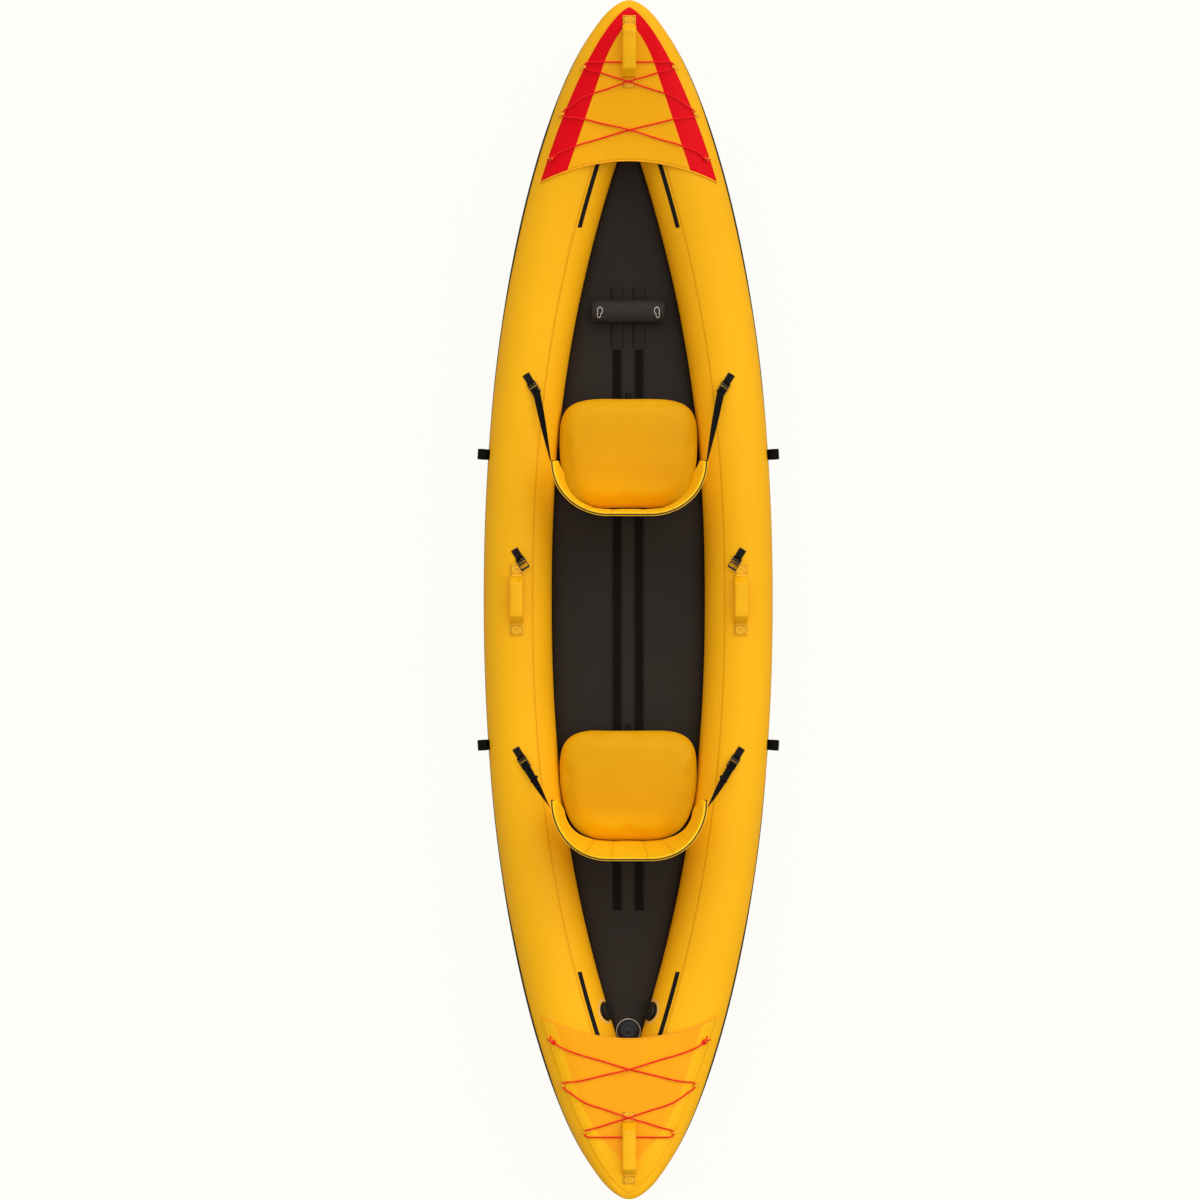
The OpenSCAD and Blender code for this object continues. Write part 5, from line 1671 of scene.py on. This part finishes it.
def track_rail(side):
    """Rail with an inward lip, drawn out along the track from its section."""
    deep = TRACK_TOP - TRACK_DEPTH
    wall = SLIDE_HALF + FIN_CLEAR
    lip = FIN_WALL / 2 + FIN_CLEAR
    section = ((lip, deep), (TRACK_HALF, deep), (TRACK_HALF, TRACK_TOP), (wall, TRACK_TOP),
               (wall, LIP_TOP), (lip, LIP_TOP))
    bm = blank()
    face = bm.faces.new([bm.verts.new((side * x, -TRACK_REACH, z)) for x, z in section])
    grown = bmesh.ops.extrude_face_region(bm, geom=[face])["geom"]
    far = [v for v in grown if isinstance(v, bmesh.types.BMVert)]
    bmesh.ops.translate(bm, vec=(0, TRACK_REACH + SLIDE_FRONT, 0), verts=far)
    bmesh.ops.recalc_face_normals(bm, faces=bm.faces)
    bevelled(bm, bm.edges[:], 0.0012)
    return bm


def fin_blade(place_y):
    slope = slope_frame(0, place_y, bottom_line(place_y))

    def tip_depth(run):
        return -(bottom_line(place_y) + run * slope.col[1].z) / slope.col[2].z

    def place(u, v):
        front = mix(0.08, -0.03, v ** 1.7)
        rear = mix(-0.07, -0.098, v ** 1.6)
        turn = 2 * math.pi * u
        chord = 0.5 + 0.5 * math.cos(turn)
        run = mix(rear, front, chord)
        taper = 1 - 0.45 * v ** 2
        thick = signed_power(math.sin(turn), 0.7) * FIN_WALL / 2 * taper * (0.55 + 0.45 * chord ** 0.5)
        depth = mix(SLIDE_TOP - SLIDE_WALL / 2, tip_depth(run) + 0.0004, v)
        return Vector((thick, run, depth))

    return shaped_grid(40, 36, place, wrap=True, shut=True)


for name, (x, y) in FIN_PLACES.items():
    seat = slope_frame(x, y, bottom_line(y))
    deep = TRACK_TOP - TRACK_DEPTH
    plate = block((-PLATE_HALF_WIDTH, -PLATE_HALF_LENGTH, TRACK_TOP),
                  (PLATE_HALF_WIDTH, PLATE_HALF_LENGTH, -LAY), seat, corner=0.02, edge=0.0012)
    rails = [set_in(track_rail(side), seat) for side in (-1, 1)]
    rails.append(block((-TRACK_HALF, SLIDE_FRONT, deep), (TRACK_HALF, TRACK_REACH, TRACK_TOP), seat,
                       corner=0.008))
    for side in (-1, 1):
        middle = side * TRACK_HALF / 2
        rails.append(block((middle - BRIDGE_HALF, BRIDGE_RUN[0], deep - 0.002),
                           (middle + BRIDGE_HALF, BRIDGE_RUN[1], deep + 0.001), seat, corner=0.003))
        ridge = side * RIDGE_PLACE
        rails.append(block((ridge - RIDGE_HALF, RIDGE_RUN[0], deep - 0.0012),
                           (ridge + RIDGE_HALF, RIDGE_RUN[1], deep + 0.0005), seat, edge=0.0006))
    piece(name + "_fin_plate", plate, moulded["fin base rubber"], "fin_black", (name + "_fin_base",))
    piece(name + "_fin_track", rails, track_finish, "fin_black")
    slide = block((-SLIDE_HALF, SLIDE_FRONT - SLIDE_LENGTH, SLIDE_TOP - SLIDE_WALL),
                  (SLIDE_HALF, SLIDE_FRONT, SLIDE_TOP), seat, corner=0.004)
    piece(name + "_fin_blade", [set_in(fin_blade(y), seat), slide], moulded["fin black"], "fin_black",
          (name + "_fin",), name + "_fin_body")


# Valves with hinged caps
VALVE_RADIUS, NECK_RADIUS, NECK_RISE, MOUTH_RADIUS = 0.031, 0.02387, 0.009, 0.0115
THROAT_RADIUS, THROAT_DEPTH, SEAT_DROP, CHAMBER_RADIUS = 0.018, 0.034, 0.014, 0.015
VALVE_BODY = (
    (MOUTH_RADIUS, NECK_RISE - 0.0008), (MOUTH_RADIUS, -SEAT_DROP), (CHAMBER_RADIUS, -SEAT_DROP),
    (CHAMBER_RADIUS, -THROAT_DEPTH + 0.003), (0.0034, -THROAT_DEPTH + 0.003), (0.0034, -THROAT_DEPTH),
    (THROAT_RADIUS, -THROAT_DEPTH), (THROAT_RADIUS, -0.0037), (VALVE_RADIUS - 0.001, -0.0037),
    (VALVE_RADIUS, -0.0027), (VALVE_RADIUS, 0.0018), (VALVE_RADIUS - 0.0003, 0.0026),
    (VALVE_RADIUS - 0.0014, 0.003), (0.0276, 0.003), (0.0274, 0.0026), (0.0246, 0.0026),
    (NECK_RADIUS, 0.0032), (NECK_RADIUS, 0.0078), (NECK_RADIUS - 0.0005, 0.0087),
    (NECK_RADIUS - 0.0015, NECK_RISE),
    (0.0128, NECK_RISE), (MOUTH_RADIUS, NECK_RISE - 0.0008),
)
CAP_INNER = NECK_RADIUS + 0.0006
CAP_OUTER = CAP_INNER + 0.0025
CAP_LOW, CAP_TOP = 0.0033, 0.0135
VALVE_CAP = (
    (0, 0.0096), (CAP_INNER, 0.0096), (CAP_INNER, CAP_LOW), (CAP_OUTER - 0.0006, CAP_LOW),
    (CAP_OUTER, 0.0039), (CAP_OUTER, 0.0118), (CAP_OUTER - 0.0005, 0.013), (CAP_OUTER - 0.0018, CAP_TOP),
    (0.0205, CAP_TOP),
    (0.0196, 0.0128), (0.0105, 0.0125), (0.0096, 0.0131), (0.003, 0.0134), (0, 0.0134),
)
VALVE_PLUNGER = (
    (0, -0.035), (0.003, -0.035), (0.003, -0.0173), (0.013, -0.0173), (0.0135, -0.0168), (0.0135, -0.0147),
    (0.0129, -0.0143), (0.006, -0.0143), (0.0045, -0.0147), (0, -0.0147),
)
for name, matrix in valve_frames.items():
    piece(name + "_valve_seat", turned(VALVE_BODY, matrix, steps=64), moulded["moulded plastic"],
          "hardware_black",
          (name + "_valve_body",))
    lid = turned(VALVE_CAP, matrix, steps=144, ribs=24, rib_depth=0.0007)
    strap = block((CAP_INNER, -0.007, CAP_LOW), (0.03, 0.007, CAP_LOW + 0.002), matrix)
    lip = block((-0.0295, -0.006, CAP_LOW + 0.003), (-CAP_OUTER + 0.001, 0.006, CAP_LOW + 0.0055), matrix,
                corner=0.0012)
    piece(name + "_valve_lid", [lid, strap, lip], moulded["moulded plastic"], "hardware_black",
          (name + "_valve_cap",), name + "_cap")
    piece(name + "_valve_stem", turned(VALVE_PLUNGER, matrix, steps=40), moulded["plunger plastic"],
          "hardware_black",
          (name + "_valve_plunger",), name + "_plunger")
RING_RADIUS, RING_WIDTH, RING_WALL, RING_RISE = 0.0382, 0.0018, 0.0004, 0.0005


def printed_ring(name, matrix):
    def place(u, v):
        turn = 2 * math.pi * u
        radius = RING_RADIUS + (v - 0.5) * RING_WIDTH
        x, y = radius * math.cos(turn), radius * math.sin(turn)
        if name == "floor":
            spot = matrix @ Vector((x, y, 0))
            return Vector((spot.x, spot.y, smooth_floor_top(spot.y) + RING_RISE))
        return on_tube(matrix, x, y, RING_RISE)

    return face_out(shaped_grid(96, 3, place, wrap=True), lambda spot: matrix.col[2].xyz)


for name, matrix in valve_frames.items():
    slot = "floor_grey" if name == "floor" else "cover_yellow"
    piece(name + "_valve_ring", printed_ring(name, matrix), moulded["printed ring"], slot, wall=RING_WALL)


# Floor, lights and world
def pale_floor():
    made = bpy.data.materials.new("studio floor")
    made.use_nodes = True
    tree = made.node_tree
    g = Graph(tree)
    tree.nodes.remove(tree.nodes["Principled BSDF"])
    white = colour(254, 253, 248)
    matt = g.add("ShaderNodeBsdfDiffuse", {"Color": (0.42, 0.42, 0.41, 1)})
    shown = g.add("ShaderNodeBsdfDiffuse", {"Color": (0.03, 0.03, 0.029, 1)})
    glow = g.add("ShaderNodeEmission", {"Color": white, "Strength": 0.97})
    seen = g.add("ShaderNodeAddShader")
    g.feed(seen.inputs[0], shown.outputs[0])
    g.feed(seen.inputs[1], glow.outputs[0])
    ray = g.add("ShaderNodeLightPath").outputs
    direct = g.calc("MAXIMUM", ray["Is Camera Ray"], ray["Is Transmission Ray"])
    both = g.add("ShaderNodeMixShader", {"Fac": direct})
    g.feed(both.inputs[1], matt.outputs[0])
    g.feed(both.inputs[2], seen.outputs[0])
    clear = g.add("ShaderNodeMixShader", {"Fac": g.add("ShaderNodeNewGeometry").outputs["Backfacing"]})
    g.feed(clear.inputs[1], both.outputs[0])
    g.feed(clear.inputs[2], g.add("ShaderNodeBsdfTransparent").outputs[0])
    g.feed(tree.nodes["Material Output"].inputs["Surface"], clear.outputs[0])
    return made


ground = bmesh.new()
bmesh.ops.create_grid(ground, x_segments=1, y_segments=1, size=14)
ground_mesh = bpy.data.meshes.new("studio_floor")
ground.to_mesh(ground_mesh)
ground.free()
ground_mesh.materials.append(pale_floor())
studio_floor = bpy.data.objects.new("studio_floor", ground_mesh)
scene.collection.objects.link(studio_floor)
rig.stage(studio_floor)


def sun(name, toward, strength, spread):
    data = bpy.data.lights.new(name, "SUN")
    data.energy = strength
    data.angle = math.radians(spread)
    lamp = bpy.data.objects.new(name, data)
    lamp.rotation_euler = Vector(toward).to_track_quat("-Z", "Y").to_euler()
    scene.collection.objects.link(lamp)


sun("key", (-0.6, -0.45, -0.85), 1.26, 75)
sun("fill", (0.2, -0.85, -0.6), 0.72, 60)
world = bpy.data.worlds.new("studio")
world.use_nodes = True
sky = world.node_tree.nodes["Background"]
sky.inputs["Color"].default_value = (1.0, 0.99, 0.97, 1)
sky.inputs["Strength"].default_value = 0.63
scene.world = world
scene.view_settings.view_transform = "Standard"

shown_low, shown_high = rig.bounds()
with open("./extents.json", "w") as record:
    sizes = {"cad": [list(cad_low), list(cad_high)], "visual": [list(shown_low), list(shown_high)]}
    json.dump(sizes, record)
